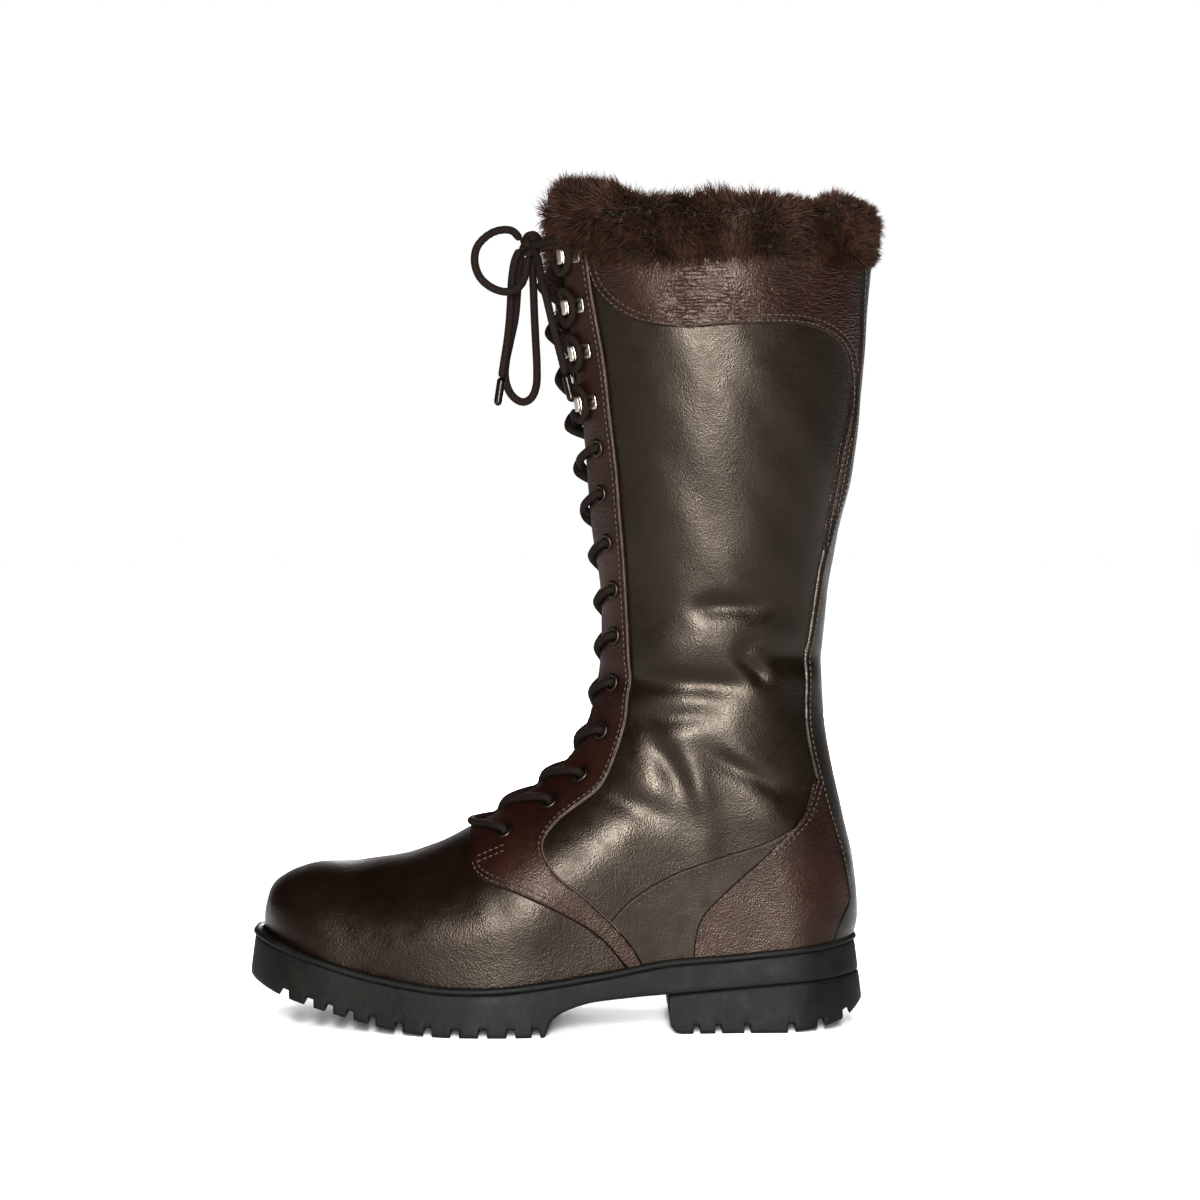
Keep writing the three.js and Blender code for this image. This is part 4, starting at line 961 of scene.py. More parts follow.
def add_shell(name, field, near, far, roll, look, stands_for, slot, levels):
    """A soft layer with a face at each of two heights and rounded edges."""
    points, normal, _, inside, faces = patch(field, [level * roll for level in levels])
    turn = quarter_round(inside / roll)
    sheets = [points + normal * lerp((near + far) / 2, face, turn)[:, None] for face in (near, far)]
    points, faces = join([(sheets[0], faces), (sheets[1], faces[:, ::-1])])
    make(name, points, faces, look, stands_for=stands_for, slot=slot)
    return points, faces


def under(name, *over):
    """A panel's own field, run on beneath the panels that are stitched over it."""
    field = FIELDS[name] + UNDERLAP
    for top in over:
        field = np.minimum(field, UNDERLAP - FIELDS[top])
    return field


def on_one_side(field, side):
    """A field kept to one side of the boot, and a little past the middle."""
    beside = SHEET_Y - swing(SHEET_X, SHEET_Z)
    return np.minimum(field, np.where(np.abs(beside) < 1e-6, field, side * beside + 0.6))


# ------------------------------------------------------------------ rows of eyelets and hooks

EYELET_ROWS, HOOK_ROWS = 10, 4
ROW_PITCH = 23
FIRST_ROW_X = -25.1
EYELET_BORE, EYELET_FLANGE, EYELET_HOLE = 2.5, 4.4, 2.9


def lacing_rows():
    """Side-view places of the rows and of the facing's edge beside them."""
    z = 84 + 2.0 * np.arange(150)
    x = bisect(
        np.full(len(z), -60.0), np.full(len(z), FRONT_ENDS), 16,
        lambda x: half_width(x, z, OUTER) < through(LACING_HALF, z),
    )
    edge = np.stack([x, z], axis=1)
    way = unit(edge[2:] - edge[:-2])
    inset = 8.5 - 2.5 * smooth((edge[1:-1, 1] - 120) / 60)
    place_at = edge[1:-1] + np.stack([way[:, 1], -way[:, 0]], axis=1) * inset[:, None]
    first = np.argmax(place_at[:, 0] > FIRST_ROW_X)
    length = lengths(place_at[first:])
    rows = (first + int(np.argmax(length >= k * ROW_PITCH)) for k in range(EYELET_ROWS + HOOK_ROWS))
    return [(place_at[i], edge[1:-1][i]) for i in rows]


ROWS = lacing_rows()


def stand_on(spot, side, height):
    """Origin and directions of a piece on the facing: away from the gap, out of the leather, along."""
    at, edge = spot
    point, normal = on_skin(at, side, height)
    beside = on_skin(edge, side, height)[0][0]
    point, normal = point[0], normal[0]
    away = point - beside
    away = unit(away - normal * away.dot(normal))
    return point, away, normal, np.cross(away, normal)


STANDS = {
    (i, side): stand_on(spot, side, PANEL_HEIGHT["facing"]) for i, spot in enumerate(ROWS) for _,
    side in SIDES
}


def on_stand(i, side, points):
    """Points given as (away, out, up) from a row's place."""
    origin, away, out, along = STANDS[i, side]
    points = np.asarray(points, float).reshape(-1, 3)
    return origin + points[:, :1] * away + points[:, 1:2] * out + points[:, 2:] * along


def lathe(profile, sides):
    """A ring turned about the out axis from (radius, out) points."""
    turn = 2 * np.pi * np.arange(sides) / sides
    profile = np.asarray(profile, float)
    rings = np.stack([
        profile[:, None, 0] * np.cos(turn), np.broadcast_to(profile[:, None, 1], (len(profile), sides)),
        profile[:, None, 0] * np.sin(turn),
    ], axis=-1)
    return rings.reshape(-1, 3), ring_faces(len(profile), sides)


def strip(centre, thick, width):
    """A flat strip bent along (away, out) points, with rounded edges."""
    pitch, sides = 0.35, 24
    path = seam(centre, pitch)
    across = left_of(path)
    ends = np.minimum(np.arange(len(path)), np.arange(len(path))[::-1]) * pitch
    narrow = 1 - 0.35 * (1 - np.clip(ends / 1.2, 0, 1)) ** 2
    turn = 2 * np.pi * np.arange(sides) / sides
    u = np.sign(np.cos(turn)) * np.abs(np.cos(turn)) ** 0.35
    v = np.sign(np.sin(turn)) * np.abs(np.sin(turn)) ** 0.7
    flat = path[:, None, :] + across[:, None, :] * v[None, :, None] * thick / 2
    deep = (width / 2 * narrow)[:, None] * u[None, :]
    return closed_off(np.concatenate([flat, deep[..., None]], axis=-1))


def add_rows():
    """Places are (radius, out) for the turned pieces and (away, out) for the hook's strip."""
    bore, flange = EYELET_BORE, EYELET_FLANGE
    roll = [(flange - 0.75 + 0.75 * math.cos(a), 0.15 + 0.75 * math.sin(a)) for a in np.linspace(-0.4, 2.2,
        9)]
    throat = [(bore + 0.55 - 0.55 * math.cos(a), 0.35 + 0.45 * math.sin(a)) for a in np.linspace(1.3, 0, 6)]
    eyelet = lathe([(flange - 0.3, -0.4), *roll, *throat, (bore, -2.6), (bore + 0.4, -3.0)], 40)
    hook = strip((
        (4.3, 0.45), (1, 0.45), (-3.4, 0.5), (-5.5, 1.6), (-6.1, 3.7), (-5.2, 5.8), (-3.3, 6.5), (-1.4, 6.4),
    ), 0.8, 7.4)
    rivet, rivet_faces = lathe([(0.01, 1.75), (0.6, 1.7), (1.2, 1.5), (1.7, 1.2), (2.0, 0.85), (2.05, 0.4)],
    28)
    rivet = rivet + np.array([1.2, 0, 0])
    for i in range(EYELET_ROWS + HOOK_ROWS):
        for word, side in SIDES:
            if i < EYELET_ROWS:
                tail = f"{word}_{i + 1:02d}"
                make(f"eyelet_ring_{tail}", on_stand(i, side, eyelet[0]), eyelet[1], "dark_metal",
                     stands_for=(f"eyelet_{tail}",), slot="eyelet_metal")
            else:
                tail = f"{word}_{i - EYELET_ROWS + 1:02d}"
                make(f"speed_hook_{tail}", on_stand(i, side, hook[0]), hook[1], "nickel",
                     stands_for=(f"hook_{tail}",), slot="hook_metal")
                make(f"hook_rivet_{tail}", on_stand(i, side, rivet), rivet_faces, "dark_metal",
                    slot="eyelet_metal")


# ------------------------------------------------------------------ the held lace

# Heights of the lace's centre line: under a facing, round a hook, over the tongue, over a facing's edge,
# and of the lowest bar.
LACE_UNDER, LACE_ON_HOOK, LACE_CLEAR, LACE_EDGE, LACE_BAR = 4.9, 1.7, 1.2, 2.7, 2.4
THROUGH_EYELET = ((0, 2.6, 0), (0.3, -1.5, 0), (-0.6, -LACE_UNDER - 1.3, 0))
TONGUE_DEPTH, TONGUE_SWELL, SWELLS_FROM = 8.4, 3.5, 215
AROUND_HOOK = ((-8.5, -8), (-4.4, -5.9), (-2.6, -2.8), (-2.6, 2.8), (-4.4, 5.9), (-8.5, 8))


def swell_at(z):
    """Depth of the tongue's middle under the body's front."""
    return lerp(TONGUE_DEPTH, TONGUE_SWELL, smooth((z - SWELLS_FROM) / 110))


def half_lace(side):
    """Half of the lace as points, from the middle of the lowest bar to the knot."""
    first = STANDS[0, side][0]
    points = [on_middle(first[2], LACE_BAR)[0], on_front(side * through(LACING_HALF, 0.0), first[2],
        LACE_EDGE)[0]]
    s = -side
    for i in range(len(ROWS)):
        s = -s
        if i >= EYELET_ROWS:
            points += list(on_stand(i, s, [(away, LACE_ON_HOOK, up * s) for away, up in AROUND_HOOK]))
        else:
            points += list(on_stand(i, s, THROUGH_EYELET))
        if i == len(ROWS) - 1:
            break
        start, end = STANDS[i, s][0], STANDS[i + 1, -s][0]
        half = through(LACING_HALF, start[2])

        def level(y):
            return lerp(start[2], end[2], (y - start[1]) / (end[1] - start[1]))

        over = 2 * LACE + 0.3 if (i % 2 == 0) == (side < 0) else 0
        middle = -swell_at(level(0)) + LACE + LACE_CLEAR + over
        points.append(on_front(s * half, level(s * half), LACE_EDGE if i >= EYELET_ROWS else -LACE_UNDER)[0])
        points.append(on_middle(level(0), middle)[0])
        points.append(on_front(-s * (half - 0.5), level(-s * half), LACE_EDGE)[0])
    points.append(np.array([KNOT[0] + 2, s * (KNOT_HALF[1] + 4), KNOT[2] - 1]))
    points.append(np.array([KNOT[0] + 1, s * (KNOT_HALF[1] - 2), KNOT[2]]))
    return np.array(points)


def add_lace():
    halves = [tube(spaced(spline(half_lace(side), 10), 0.9), LACE, 20, BRAID) for _, side in SIDES]
    make("threaded_lace", *join(halves), "lace", stands_for=("lace",), slot="lace")


# ------------------------------------------------------------------ tongue

TONGUE_THICK = 4
TONGUE_BASE_X = -44
TONGUE_LOW, TONGUE_TOP = 93, 396


def add_tongue():
    rings, across = 150, 41
    z = lerp(TONGUE_LOW, TONGUE_TOP, (np.arange(rings) / (rings - 1)) ** 1.25)
    u = np.sin(np.pi / 2 * np.linspace(-1, 1, across))
    wide = through(TONGUE_HALF, z)
    y = u[None, :] * wide[:, None]
    gap_half = through(LACING_HALF, z)[:, None]
    depth = lerp(swell_at(z)[:, None], TONGUE_DEPTH, np.minimum(1, np.abs(y) / (gap_half - 1)))
    zz = np.broadcast_to(z[:, None], y.shape)
    rib = 0.35 * np.sin(zz * 0.33 + 0.8 * np.sin(zz * 0.07)) * (1 - np.abs(u)[None, :] ** 2) * smooth((zz
        - 100) / 20)
    front = on_front(y.ravel(), zz.ravel(), (rib - depth).ravel()).reshape(rings, across, 3)
    centre = across // 2
    front[:, centre] = on_middle(z, rib[:, centre] - depth[:, centre])
    for _ in range(3):
        front[1:-1, 1:-1] = 0.6 * front[1:-1, 1:-1] + 0.1 * (
            front[:-2, 1:-1] + front[2:, 1:-1] + front[1:-1, :-2] + front[1:-1, 2:]
        )
    triangles = grid_triangles(np.arange(rings * across).reshape(rings, across))
    normal = vertex_normals(front.reshape(-1, 3), triangles).reshape(rings, across, 3)
    if normal[rings // 2, centre, 0] > 0:
        normal = -normal
    from_end = np.minimum(np.arange(rings), np.arange(rings)[::-1])[:, None] / rings
    padding = np.clip(np.minimum(1 - np.abs(u)[None, :], from_end) * 30, 0, 1)
    back = front - normal * (TONGUE_THICK * (0.35 + 0.65 * padding))[..., None]
    shape, faces = closed_off(np.concatenate([front, back[:, ::-1]], axis=1))
    made = make("tongue_leather", shape, faces, "tongue_leather", TONGUE_BODY, ("tongue",), "tongue_leather",
                {"edge": np.full(len(shape), 20.0)})
    return front, normal, z


# ------------------------------------------------------------------ sole

WELT_HEIGHT = 3.2
SOLE_UNDER = ((-151, 27), (-127, 17), (-103, 9.5), (-80, 4), (-60, 1), (-48, 0))
WAIST = seam([(-5, 0), (0, 9), (14, 15), (34, 17.5), (55.5, 19)], 0.5)
HEEL_SPLIT = ((54, 18.5), (152, 26.5))
HEEL_FRONT = 55.5
HEEL_BEVEL = ((112, 0), (136, 5), (151, 16))
GROOVES = (-8.7, -20, -32.7, -45.3, -57.9, -71.5, -84.4, -95.4, -105.4, -114.4, -125)
HEEL_GROOVES = (68.6, 79.3, 93.2, 114.2, 126.5, 137.6)
GROOVE_HALF, HEEL_GROOVE_HALF, GROOVE_DEEP = 2.0, 1.6, 3.8
HEEL_CORNER = 7  # rounding of the heel's front lower edge
BODY_MIDDLE, BODY_HALF = 1.9, 144.0
SEAM_GAP = 0.3


def plan_line():
    """Outer and inner edges of the body in plan, toe to heel."""
    count = 161
    turn = np.pi * np.arange(count) / (count - 1)
    x = BODY_MIDDLE - BODY_HALF * np.cos(turn)
    z = np.maximum(through(WELT_TOP, x), 46)
    edges = [np.stack([x, surface_y(x, z, side)], axis=1) for _, side in SIDES]
    loop = np.concatenate([edges[0], edges[1][::-1]])
    for _ in range(6):
        loop = 0.5 * loop + 0.25 * (np.roll(loop, 1, axis=0) + np.roll(loop, -1, axis=0))
    return loop[:count], loop[count:][::-1]


def edge_at(x, z, side, extra=0.0):
    """Points of the sole's side wall at x and height z."""
    line = PLAN[0 if side < 0 else 1]
    number = np.arange(len(line))
    at = np.interp(x, line[:, 0], number)
    out = unit(sample(at, number, left_of(line) * side))
    margin = lerp(5, 1.6, np.clip((x + 150) / 260, 0, 1)) + extra + (40 - z) * 0.13
    made = sample(at, number, line) + out * margin[..., None]
    return np.stack([made[..., 0], made[..., 1], z], axis=-1)


PLAN = plan_line()


def slab(x, bottom, top):
    """A block between two heights along x, its cross sections closed loops."""
    levels = (0, 0.04, 0.1, 0.25, 0.5, 0.75, 0.9, 0.96, 1.0)
    inset = (0.7, 0.25, 0.05, 0, 0, 0, 0.05, 0.2, 0.6)
    outer, inner = (
        np.stack([edge_at(x, lerp(bottom, top, level), side, -back) for level, back in zip(levels, inset)],
        axis=1)
        for _, side in SIDES
    )
    t = (np.arange(1, 13) / 13)[None, :, None]
    under_side = lerp(inner[:, :1], outer[:, :1], t)
    over_side = lerp(outer[:, -1:], inner[:, -1:], t)
    return closed_off(np.concatenate([outer, over_side, inner[:, ::-1], under_side], axis=1))


def stations(start, end, grooves, half=GROOVE_HALF, round_start=True):
    """Places along x, closer together at the ends and beside the grooves."""
    spans = int((end - start) / 2.0)
    near = (end - start) * (np.linspace(0, 1, 40) ** 2) * 0.12
    beside = [g + s * (half + d) for g in grooves for s in (-1, 1) for d in (-0.12, 0.12)]
    return np.unique(np.concatenate([
        lerp(start, end, np.arange(spans + 1) / spans), start + near if round_start else [], end - near,
        beside,
    ]))


def grooved(x, z, grooves, half=GROOVE_HALF):
    inside = (np.abs(x[:, None] - np.array(grooves)) < half).any(axis=1)
    return z + np.where(inside, GROOVE_DEEP, 0)


def heel_split(x):
    """Height of the line between the outsole and the heel block."""
    return np.interp(x, *zip(*HEEL_SPLIT))


def add_block(name, x, bottom, top, node):
    make(name, *slab(x, bottom, top), "rubber", stands_for=(node,), slot="rubber")


def add_sole():
    low_x, high_x = BODY_MIDDLE - BODY_HALF + 0.15, BODY_MIDDLE + BODY_HALF - 0.15
    x = stations(low_x, high_x, GROOVES)
    x = np.unique(np.concatenate([x, WAIST[:, 0], [HEEL_FRONT - 0.05]]))
    bottom = np.where(x < -5, through(SOLE_UNDER, x), sample(x, WAIST[:, 0], WAIST)[:, 1])
    bottom = np.where(x >= HEEL_FRONT - 0.1, heel_split(x), bottom)
    top = through(WELT_TOP, x) - WELT_HEIGHT
    add_block("rubber_outsole", x, grooved(x, bottom, GROOVES), top, "outsole")

    x = stations(HEEL_FRONT, high_x, HEEL_GROOVES, HEEL_GROOVE_HALF, round_start=False)
    x = np.unique(np.concatenate([x, HEEL_FRONT + HEEL_CORNER * np.linspace(0, 1, 14) ** 2]))
    bevel = seam(HEEL_BEVEL, 1.0)
    bottom = np.where(x > bevel[0, 0], np.interp(x, bevel[:, 0], bevel[:, 1]), 0.0)
    corner = np.clip((HEEL_FRONT + HEEL_CORNER - x) / HEEL_CORNER, 0, 1)
    bottom = bottom + HEEL_CORNER * (1 - np.sqrt(1 - corner**2))
    bottom = grooved(x, bottom, HEEL_GROOVES, HEEL_GROOVE_HALF)
    add_block("rubber_heel", x, bottom, heel_split(x) - SEAM_GAP, "heel_block")

    # The welt runs round toe and heel as one closed strip; its section is (out past the sole's wall, height).
    x = stations(low_x, high_x, [])
    top = through(WELT_TOP, x)
    section = (
        (-3.5, 0.0), (-3.5, 0.95), (0.1, 1.0), (0.55, 0.92), (0.95, 0.7), (1.1, 0.45), (0.9, 0.2), (0.35,
        0.05), (0, 0),
    )
    outer, inner = (
        np.stack([edge_at(x, lerp(top - WELT_HEIGHT + 0.15, top, level), side, out) for out,
        level in section], axis=1)
        for _, side in SIDES
    )
    whole = np.concatenate([outer, inner[::-1]]).reshape(-1, 3)
    faces = ring_faces(2 * len(x) + 1, len(section)) % len(whole)
    make("welt_strip", whole, faces, "rubber", stands_for=("storm_welt",), slot="rubber")


# ------------------------------------------------------------------ insides that can be seen from above


def add_footbed():
    x = BODY_MIDDLE - (BODY_HALF - 11) * np.cos(np.pi * np.arange(121) / 120)
    seat = through(WELT_TOP, x) - WELT_HEIGHT
    u = np.concatenate([np.linspace(-1, 1, 25), np.linspace(1, -1, 25)])
    wide = np.clip(np.stack([half_width(x, np.maximum(seat, 40) + 4, side) for _, side in SIDES]) - 9.6,
        0.2, None)
    y = np.where(u < 0, u * wide[0][:, None], u * wide[1][:, None]) + swing(x, seat + 4)[:, None]
    dome = np.sqrt(np.clip(1 - np.abs(u) ** 6, 0, 1))
    z = seat[:, None] + np.where(np.arange(len(u)) < 25, 5.5 + 2.5 * dome, 5.5 - 2.3 * dome)[None, :]
    shape = np.stack([np.broadcast_to(x[:, None], y.shape), y, z], axis=-1).reshape(-1, 3)
    made = make("felt_footbed", shape, ring_faces(len(x), len(u)), "footbed", stands_for=("footbed",),
        slot="footbed")


CARRIED_OVER = {
    "insole_board": "board", "toe_puff": "stiffener", "heel_stiffener": "stiffener", "shank": "steel",
}


def repaint_hidden_nodes():
    for name, look in CARRIED_OVER.items():
        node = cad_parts[name]
        while len(node.material_slots) < 1:
            node.data.materials.append(None)
        for held in node.material_slots:
            held.link = "OBJECT"
            held.material = LOOKS[look]


# ------------------------------------------------------------------ stitching

STITCH_LONG, STITCH_PITCH, STITCH_THICK, STITCH_RAISED = 2.3, 3.0, 0.42, 0.22


def offset(line, by):
    """A side-view line moved to its left by a distance."""
    return line + left_of(line) * by


def stitch_row(line, side, height):
    """Middles, directions and normals of stitches laid on the leather along a side-view line."""
    flat = spaced(line, 0.8)
    length = lengths(surface_at(flat, side)[0])
    at = (np.arange(int(length[-1] // STITCH_PITCH)) + 0.5) * STITCH_PITCH
    (a, _), (middle, normal), (b, _) = (
        on_skin(sample(at + by, length, flat), side, height) for by in (-STITCH_LONG / 2, 0, STITCH_LONG / 2)
    )
    return middle, unit(b - a), normal


def capsules(middles, ways, normals):
    """Rounded threads, one for each stitch, in one mesh."""
    sides = 6
    t = np.array([-0.5, -0.42, -0.2, 0.2, 0.42, 0.5])
    r = np.array([0.1, 0.7, 1.0, 1.0, 0.7, 0.1]) * STITCH_THICK
    rise = np.array([-0.5, -0.1, 0.12, 0.12, -0.1, -0.5]) * STITCH_THICK
    turn = (2 * np.pi * np.arange(sides) / sides)[:, None]
    across = unit(np.cross(ways, normals))
    centre = middles[:, None] + ways[:, None] * (t * STITCH_LONG)[:, None] + normals[:, None] * rise[:, None]
    ring = np.cos(turn) * across[:, None, None] + np.sin(turn) * normals[:, None, None]
    points = centre[:, :, None] + ring * r[:, None, None]
    first = np.arange(len(middles)) * len(t) * sides
    return points.reshape(-1, 3), (ring_faces(len(t), sides)[None] + first[:, None, None]).reshape(-1, 4)


def add_stitching():
    rows = [  # line, distances of its rows from the line, panel that they lie on
        (COLLAR_UNDER[8:], (2.0, 4.6), "collar"),
        (QUARTER_TOP[3:-12], (1.6, 3.8), "quarter"),
        (COUNTER_FRONT[:-14], (1.6, 3.9), "counter"),
        (BACKSTAY_EDGE[4:], (1.5,), "backstay"),
        (FACING_BACK[16:], (2.0,), "facing"),
        (FACING_UNDER[2:-10], (1.8, 4.0), "facing"),
    ]
    for word, side in SIDES:
        lines = [(offset(line, by), panel) for line, offsets, panel in rows for by in offsets]
        for tack in (((-36, 83), (-20, 90)), ((-36, 80.5), (-20, 87.5))):
            lines.append((spaced(tack, 1), "facing"))
        made = [stitch_row(line, side, PANEL_HEIGHT[panel] + STITCH_RAISED) for line, panel in lines]
        middles, ways, normals = (np.concatenate(v) for v in zip(*made))
        make(f"stitching_{word}", *capsules(middles, ways, normals), "thread")
        edge = on_skin(spaced(offset(FACING_BACK[14:], 0.35), 1.0), side, PANEL_HEIGHT["facing"] - 0.25)[0]
        make(f"corded_edge_{word}", *tube(edge, 0.48, 10), "piping")


# ------------------------------------------------------------------ fur

CUFF_PELT = (
    (-30, 379), (6, 376), (18, 372.5), (34, 370), (58, 367.5), (78, 369.5), (100, 370.5), (122, 368), (150,
    369),
    (175, 370), (175, 387), (162, 390), (151, 397), (136, 399), (128, 394), (104, 396.5), (70, 396), (44,
    396.5),
    (28, 402), (6, 406), (-30, 406),
)


CUFF_MIDDLE_X = 72
FUR_CLUMP, FUR_TUFTS = 0.6, 260


def hairs(count):
    return count


def on_mesh(points, faces, count):
    """Random places on a mesh, evenly by area, and the directions out of it."""
    if faces.shape[1] == 4:
        faces = halved(faces)
    a, b, c = (points[faces[:, k]] for k in range(3))
    cross = np.cross(b - a, c - a)
    area = np.linalg.norm(cross, axis=1)
    pick = RNG.choice(len(faces), size=count, p=area / area.sum())
    u, v = RNG.random((2, count))
    flip = u + v > 1
    u, v = np.where(flip, 1 - u, u), np.where(flip, 1 - v, v)
    spots = a[pick] + (b - a)[pick] * u[:, None] + (c - a)[pick] * v[:, None]
    return spots, unit(cross[pick])


def waves(points, size, seed):
    """A smooth random direction for each point."""
    rng = np.random.default_rng(seed)
    total = np.zeros_like(points)
    for _ in range(7):
        k = rng.normal(size=3) / size
        total += np.sin(points @ k + rng.random() * 6.3)[:, None] * rng.normal(size=3)[None, :]
    return total / 2.6


def blades(name, roots, lean, long, wide, body=BODY):
    """Hairs as narrow tapering ribbons, drawn together into tufts."""
    n = len(roots)
    tufts = roots[RNG.choice(n, size=min(FUR_TUFTS, n // 8))]
    nearest = np.empty(n, int)
    for start in range(0, n, 4000):
        part = roots[start:start + 4000]
        nearest[start:start + 4000] = ((part[:, None] - tufts[None]) ** 2).sum(-1).argmin(axis=1)
    pull = (tufts[nearest] - roots) * FUR_CLUMP
    lean = unit(lean + 0.28 * RNG.normal(size=(n, 3)))
    across = unit(np.cross(lean, RNG.normal(size=(n, 3))))
    bend = waves(roots, 9, 5) * 0.32 + 0.2 * RNG.normal(size=(n, 3))
    t = np.array([0, 0.4, 0.75, 1.0])
    w = np.array([1.0, 0.85, 0.5, 0.0]) * wide / 2
    spine = roots[:, None] + long[:, None, None] * (
        lean[:, None] * t[None, :, None] + bend[:, None] * (t**2)[None, :, None] * 0.7
    ) + pull[:, None] * (t**1.5)[None, :, None]
    left = spine[:, :3] - across[:, None] * w[None, :3, None]
    right = spine[:, :3] + across[:, None] * w[None, :3, None]
    points = np.concatenate([left, right, spine[:, 3:]], axis=1)
    one = np.array([(0, 3, 4), (0, 4, 1), (1, 4, 5), (1, 5, 2), (2, 5, 6)])
    faces = (one[None] + 7 * np.arange(n)[:, None, None]).reshape(-1, 3)
    along = np.tile([0, 0.4, 0.75, 0, 0.4, 0.75, 1.0], n)
    tone = np.repeat(RNG.random(n), 7)
    make(name, points.reshape(-1, 3), faces, "fur", body, (), "fur", {"along": along, "tone": tone})


def add_cuff():
    field = outline_field(CUFF_PELT, SHEET_X, SHEET_Z)
    field = np.minimum(field, np.where(SHEET_X < 60, GAP_FIELD + 0.5, 100))
    levels = (0, 0.03, 0.12, 0.3, 0.6, 1.0)
    points, faces = add_shell("cuff_pelt", field, 1.7, -9.0, 5.0, "pelt", ("fur_cuff",), "fur", levels)
    count = hairs(96000)
    roots, normal = on_mesh(points, faces, count)
    from_middle = unit(np.column_stack([roots[:, :2] - (CUFF_MIDDLE_X, 0), np.zeros(count)]))
    inward = (from_middle * normal).sum(axis=1) < -0.2
    level = smooth((roots[:, 2] - 387) / 9)
    comb = np.stack([np.zeros(count), np.zeros(count), lerp(-0.55, 0.3, level)], axis=1)
    comb[inward, 2] = 0.15
    lean = normal * 0.8 + comb + waves(roots, 9, 3) * 0.6
    shorter_behind = lerp(1.0, 0.7, smooth((roots[:, 0] - 120) / 30))
    long = RNG.uniform(4.6, 8.2, count) * np.where(inward, 0.9, 1.0) * shorter_behind
    order = np.argsort(np.arctan2(roots[:, 1], roots[:, 0] - CUFF_MIDDLE_X))
    for k, part in enumerate(np.array_split(order, 4)):
        blades(f"cuff_fur_{k + 1}", roots[part], lean[part], long[part], 0.4)


def add_lining():
    wide = through(TONGUE_HALF, np.maximum(SHEET_Z, 130)) + 1
    slot = np.maximum(np.abs(SHEET_Y) - wide, TONGUE_BASE_X - SHEET_X)
    field = np.minimum(np.where(FRONT_HALF, slot, 100), 374 - SHEET_Z)
    levels = (0, 0.2, 1.0)
    points, faces = add_shell("fleece_lining", field, -3.2, -8.4, 2.0, "lining", ("lining",), "lining",
    levels)
    spots, normal = on_mesh(points, faces[len(faces) // 2:], hairs(36000))
    keep = spots[:, 2] > 240
    spots, normal = spots[keep], normal[keep]
    lean = normal * 0.8 + np.array([0, 0, -0.35]) + waves(spots, 20, 8) * 0.4
    blades("lining_fur", spots, lean, RNG.uniform(5, 8, len(spots)), 0.4)


def add_tongue_fur(front, normal, z):
    """Fur on the back of the tongue and over its top, and on its face above the laces."""
    top = z > 300
    back = front[top] - normal[top] * (TONGUE_THICK + 0.3)
    far = front[top] - normal[top] * (TONGUE_THICK + 4.5)
    rise = np.array([0.0, 0.0, 3.0])
    loops = [np.concatenate([a, b[::-1]]) for a, b in zip(back, far)]
    capped = loops[-1] + rise
    across = front.shape[1]
    capped[:across] = front[-1] + rise + normal[-1] * 0.2
    loops = [*loops, capped, np.repeat((capped.mean(axis=0) + rise * 0.8)[None], len(capped), axis=0)]
    shape = np.concatenate(loops)
    faces = ring_faces(len(loops), 2 * across)
    make("tongue_pelt", shape, faces, "pelt", TONGUE_BODY, ("tongue_fur",), "fur")
    count = hairs(20000)
    roots, out = on_mesh(shape, faces, count)
    middle = shape.mean(axis=0)
    away = np.where(((roots - middle) * out).sum(axis=1, keepdims=True) < 0, -out, out)
    lift = smooth((roots[:, 2] - 385) / 10)[:, None]
    comb = np.array([-0.15, 0, 0.9]) * lift + np.array([0.3, 0, -0.2]) * (1 - lift)
    lean = away * 0.6 + comb + waves(roots, 12, 6) * 0.4
    blades("tongue_fur_hairs", roots, lean, RNG.uniform(6, 10, count), 0.34, TONGUE_BODY)
    high = z > 322
    face, outward = front[high].reshape(-1, 3), normal[high].reshape(-1, 3)
    count = hairs(12000)
    pick = RNG.integers(len(face), size=count)
    picks = face[pick] + RNG.normal(size=(count, 3)) * 1.2
    full = smooth((picks[:, 2] - 326) / 22)
    lean = outward[pick] * 0.8 + np.array([-0.2, 0, -0.1]) + waves(picks, 9, 9) * 0.5
    lean[:, 1] += picks[:, 1] * 0.02
    lean[:, 2] += 0.5 * smooth((picks[:, 2] - 386) / 10)
    long = RNG.uniform(4, 7.5, count) * lerp(0.5, 1.0, full)
    blades("tongue_front_fur", picks, lean, long, 0.4, TONGUE_BODY)


# ------------------------------------------------------------------ putting it together


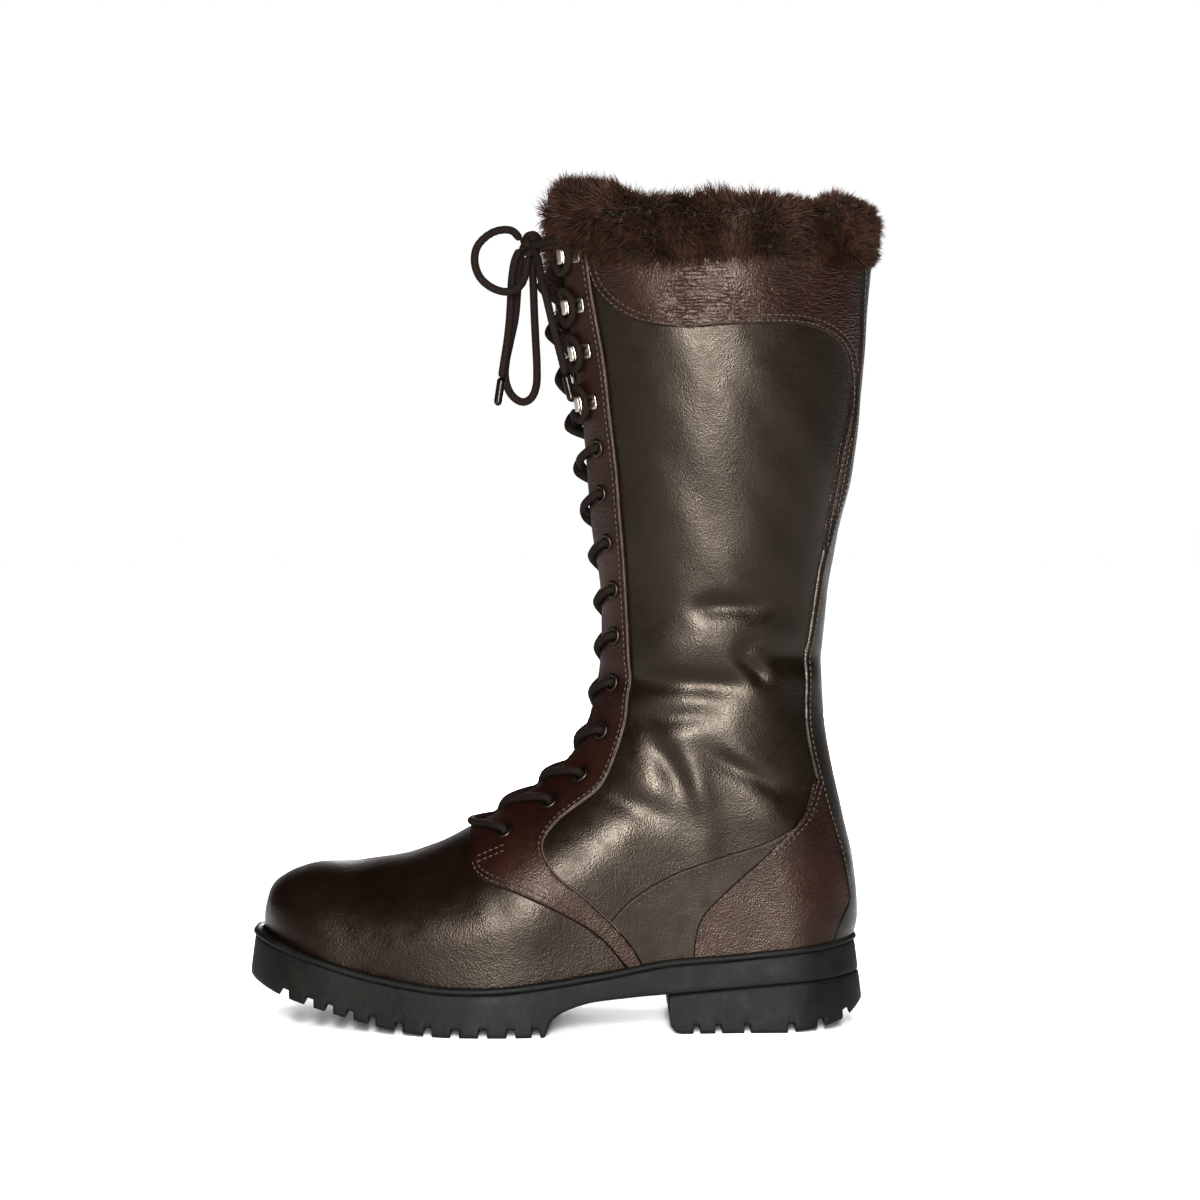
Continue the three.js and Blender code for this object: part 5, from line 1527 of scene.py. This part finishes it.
def add_upper():
    vamp = under("vamp", "facing")
    vamp = np.minimum(vamp, np.maximum(THROAT - SHEET_X, GAP_FIELD + 2))
    add_panel("vamp_leather", vamp, PANEL_HEIGHT["vamp"], "vamp_leather", ("vamp",), "vamp_leather")

    top = LEATHER_TOP - SHEET_Z
    facing = np.minimum(FIELDS["facing"], np.minimum(GAP_FIELD, top))
    for (i, _), (point, _, normal, _) in STANDS.items():
        if i < EYELET_ROWS:
            away = np.linalg.norm(SHEET - (point - PANEL_HEIGHT["facing"] * normal), axis=1)
            facing = np.minimum(facing, away - EYELET_HOLE)
    shaft = np.minimum(under("shaft", "facing", "collar", "backstay"), top)
    shaft = np.minimum(shaft, np.where(FRONT_HALF, GAP_FIELD - 3, 50))
    collar = np.minimum(under("collar", "facing", "backstay"), top)
    panels = (  # name, field, height, look, slot
        ("shaft_panel", shaft, "shaft", "shaft_leather", "shaft_leather"),
        # The quarter wears the shaft leather with painted shade in a darker colour.
        ("quarter", np.minimum(under("quarter", "facing", "counter"), FIELDS["quarter"]), "quarter",
         "painted_shade_quarter_leather", "shaft_leather"),
        ("collar_panel", np.minimum(collar, FIELDS["collar"]), "collar", "collar_leather", "trim_leather"),
        ("heel_counter", np.minimum(under("counter", "backstay"), FIELDS["counter"]), "counter",
         "trim_leather", "trim_leather"),
        ("facing", facing, "facing", "trim_leather", "trim_leather"),
    )
    for word, side in SIDES:
        for name, field, height, look, slot in panels:
            add_panel(f"{name}_{word}_leather", on_one_side(field, side), PANEL_HEIGHT[height], look,
                      (f"{name}_{word}",), slot)
    backstay = np.minimum(FIELDS["backstay"], top)
    add_panel("backstay_leather", backstay, PANEL_HEIGHT["backstay"], "shaft_leather", ("backstay",),
        "shaft_leather")


add_upper()
add_rows()
add_lace()
add_tongue_fur(*add_tongue())
add_sole()
add_footbed()
add_lining()
add_cuff()
add_stitching()
repaint_hidden_nodes()

# ------------------------------------------------------------------ floor and light


def add_lamp(kind, name, at, way, power, **settings):
    data = bpy.data.lights.new(name, kind)
    data.energy = power
    for key, value in settings.items():
        setattr(data, key, value)
    lamp = bpy.data.objects.new(name, data)
    lamp.location = at
    lamp.rotation_euler = Vector(way).to_track_quat("-Z", "Y").to_euler()
    bpy.context.scene.collection.objects.link(lamp)
    return lamp


def add_softbox(name, at, size, power):
    """A panel of light turned to the boot."""
    lamp = add_lamp("AREA", name, at, LOOK_AT - Vector(at), power, shape="RECTANGLE", size=size[0],
        size_y=size[1])
    lamp.visible_camera = False


def add_room_light(name, way, strength):
    """Broad light from one direction that lights colour but leaves no shine."""
    add_lamp("SUN", name, (0, 0, 0), way, strength, angle=math.radians(40)).visible_glossy = False


def add_floor():
    far = 9
    mesh = bpy.data.meshes.new("floor")
    mesh.from_pydata([(-far, -far, 0), (far, -far, 0), (far, far, 0), (-far, far, 0)], [], [(0, 1, 2, 3)])
    floor = bpy.data.objects.new("floor", mesh)
    bpy.context.scene.collection.objects.link(floor)
    finish = Finish("pale_floor", Roughness=0.75, Base_Color=(0.97, 0.97, 0.97), Specular_IOR_Level=0.2)
    mesh.materials.append(finish.material)


def light_scene():
    """White where the camera looks past the boot and far behind it, and nearly dark elsewhere."""
    world = bpy.data.worlds.new("studio")
    bpy.context.scene.world = world
    world.use_nodes = True
    tree = world.node_tree
    split_xyz = tree.nodes.new("ShaderNodeSeparateXYZ")
    put(tree, split_xyz.inputs[0], tree.nodes.new("ShaderNodeTexCoord").outputs["Generated"])
    behind = (split_xyz.outputs["Y"], 0.86, 0.955, 0.03, 1.0)
    ramp = fed(tree, "MapRange", behind, interpolation_type="SMOOTHSTEP")
    seen = tree.nodes.new("ShaderNodeLightPath").outputs["Is Camera Ray"]
    sky = tree.nodes["Background"]
    put(tree, sky.inputs["Strength"], fed(tree, "Math", (ramp, seen), operation="MAXIMUM"))
    put(tree, sky.inputs["Color"], (1, 1, 1))
    add_softbox("front_softbox", (0.02, -2.1, 0.62), (0.26, 1.0), 150)
    add_softbox("back_softbox", (0.1, 2.1, 0.62), (0.5, 1.1), 42)
    add_room_light("front_room_light", (0.2, 0.75, -1), 3.4)
    add_room_light("back_room_light", (-0.2, -0.75, -1), 1.4)


add_floor()
light_scene()
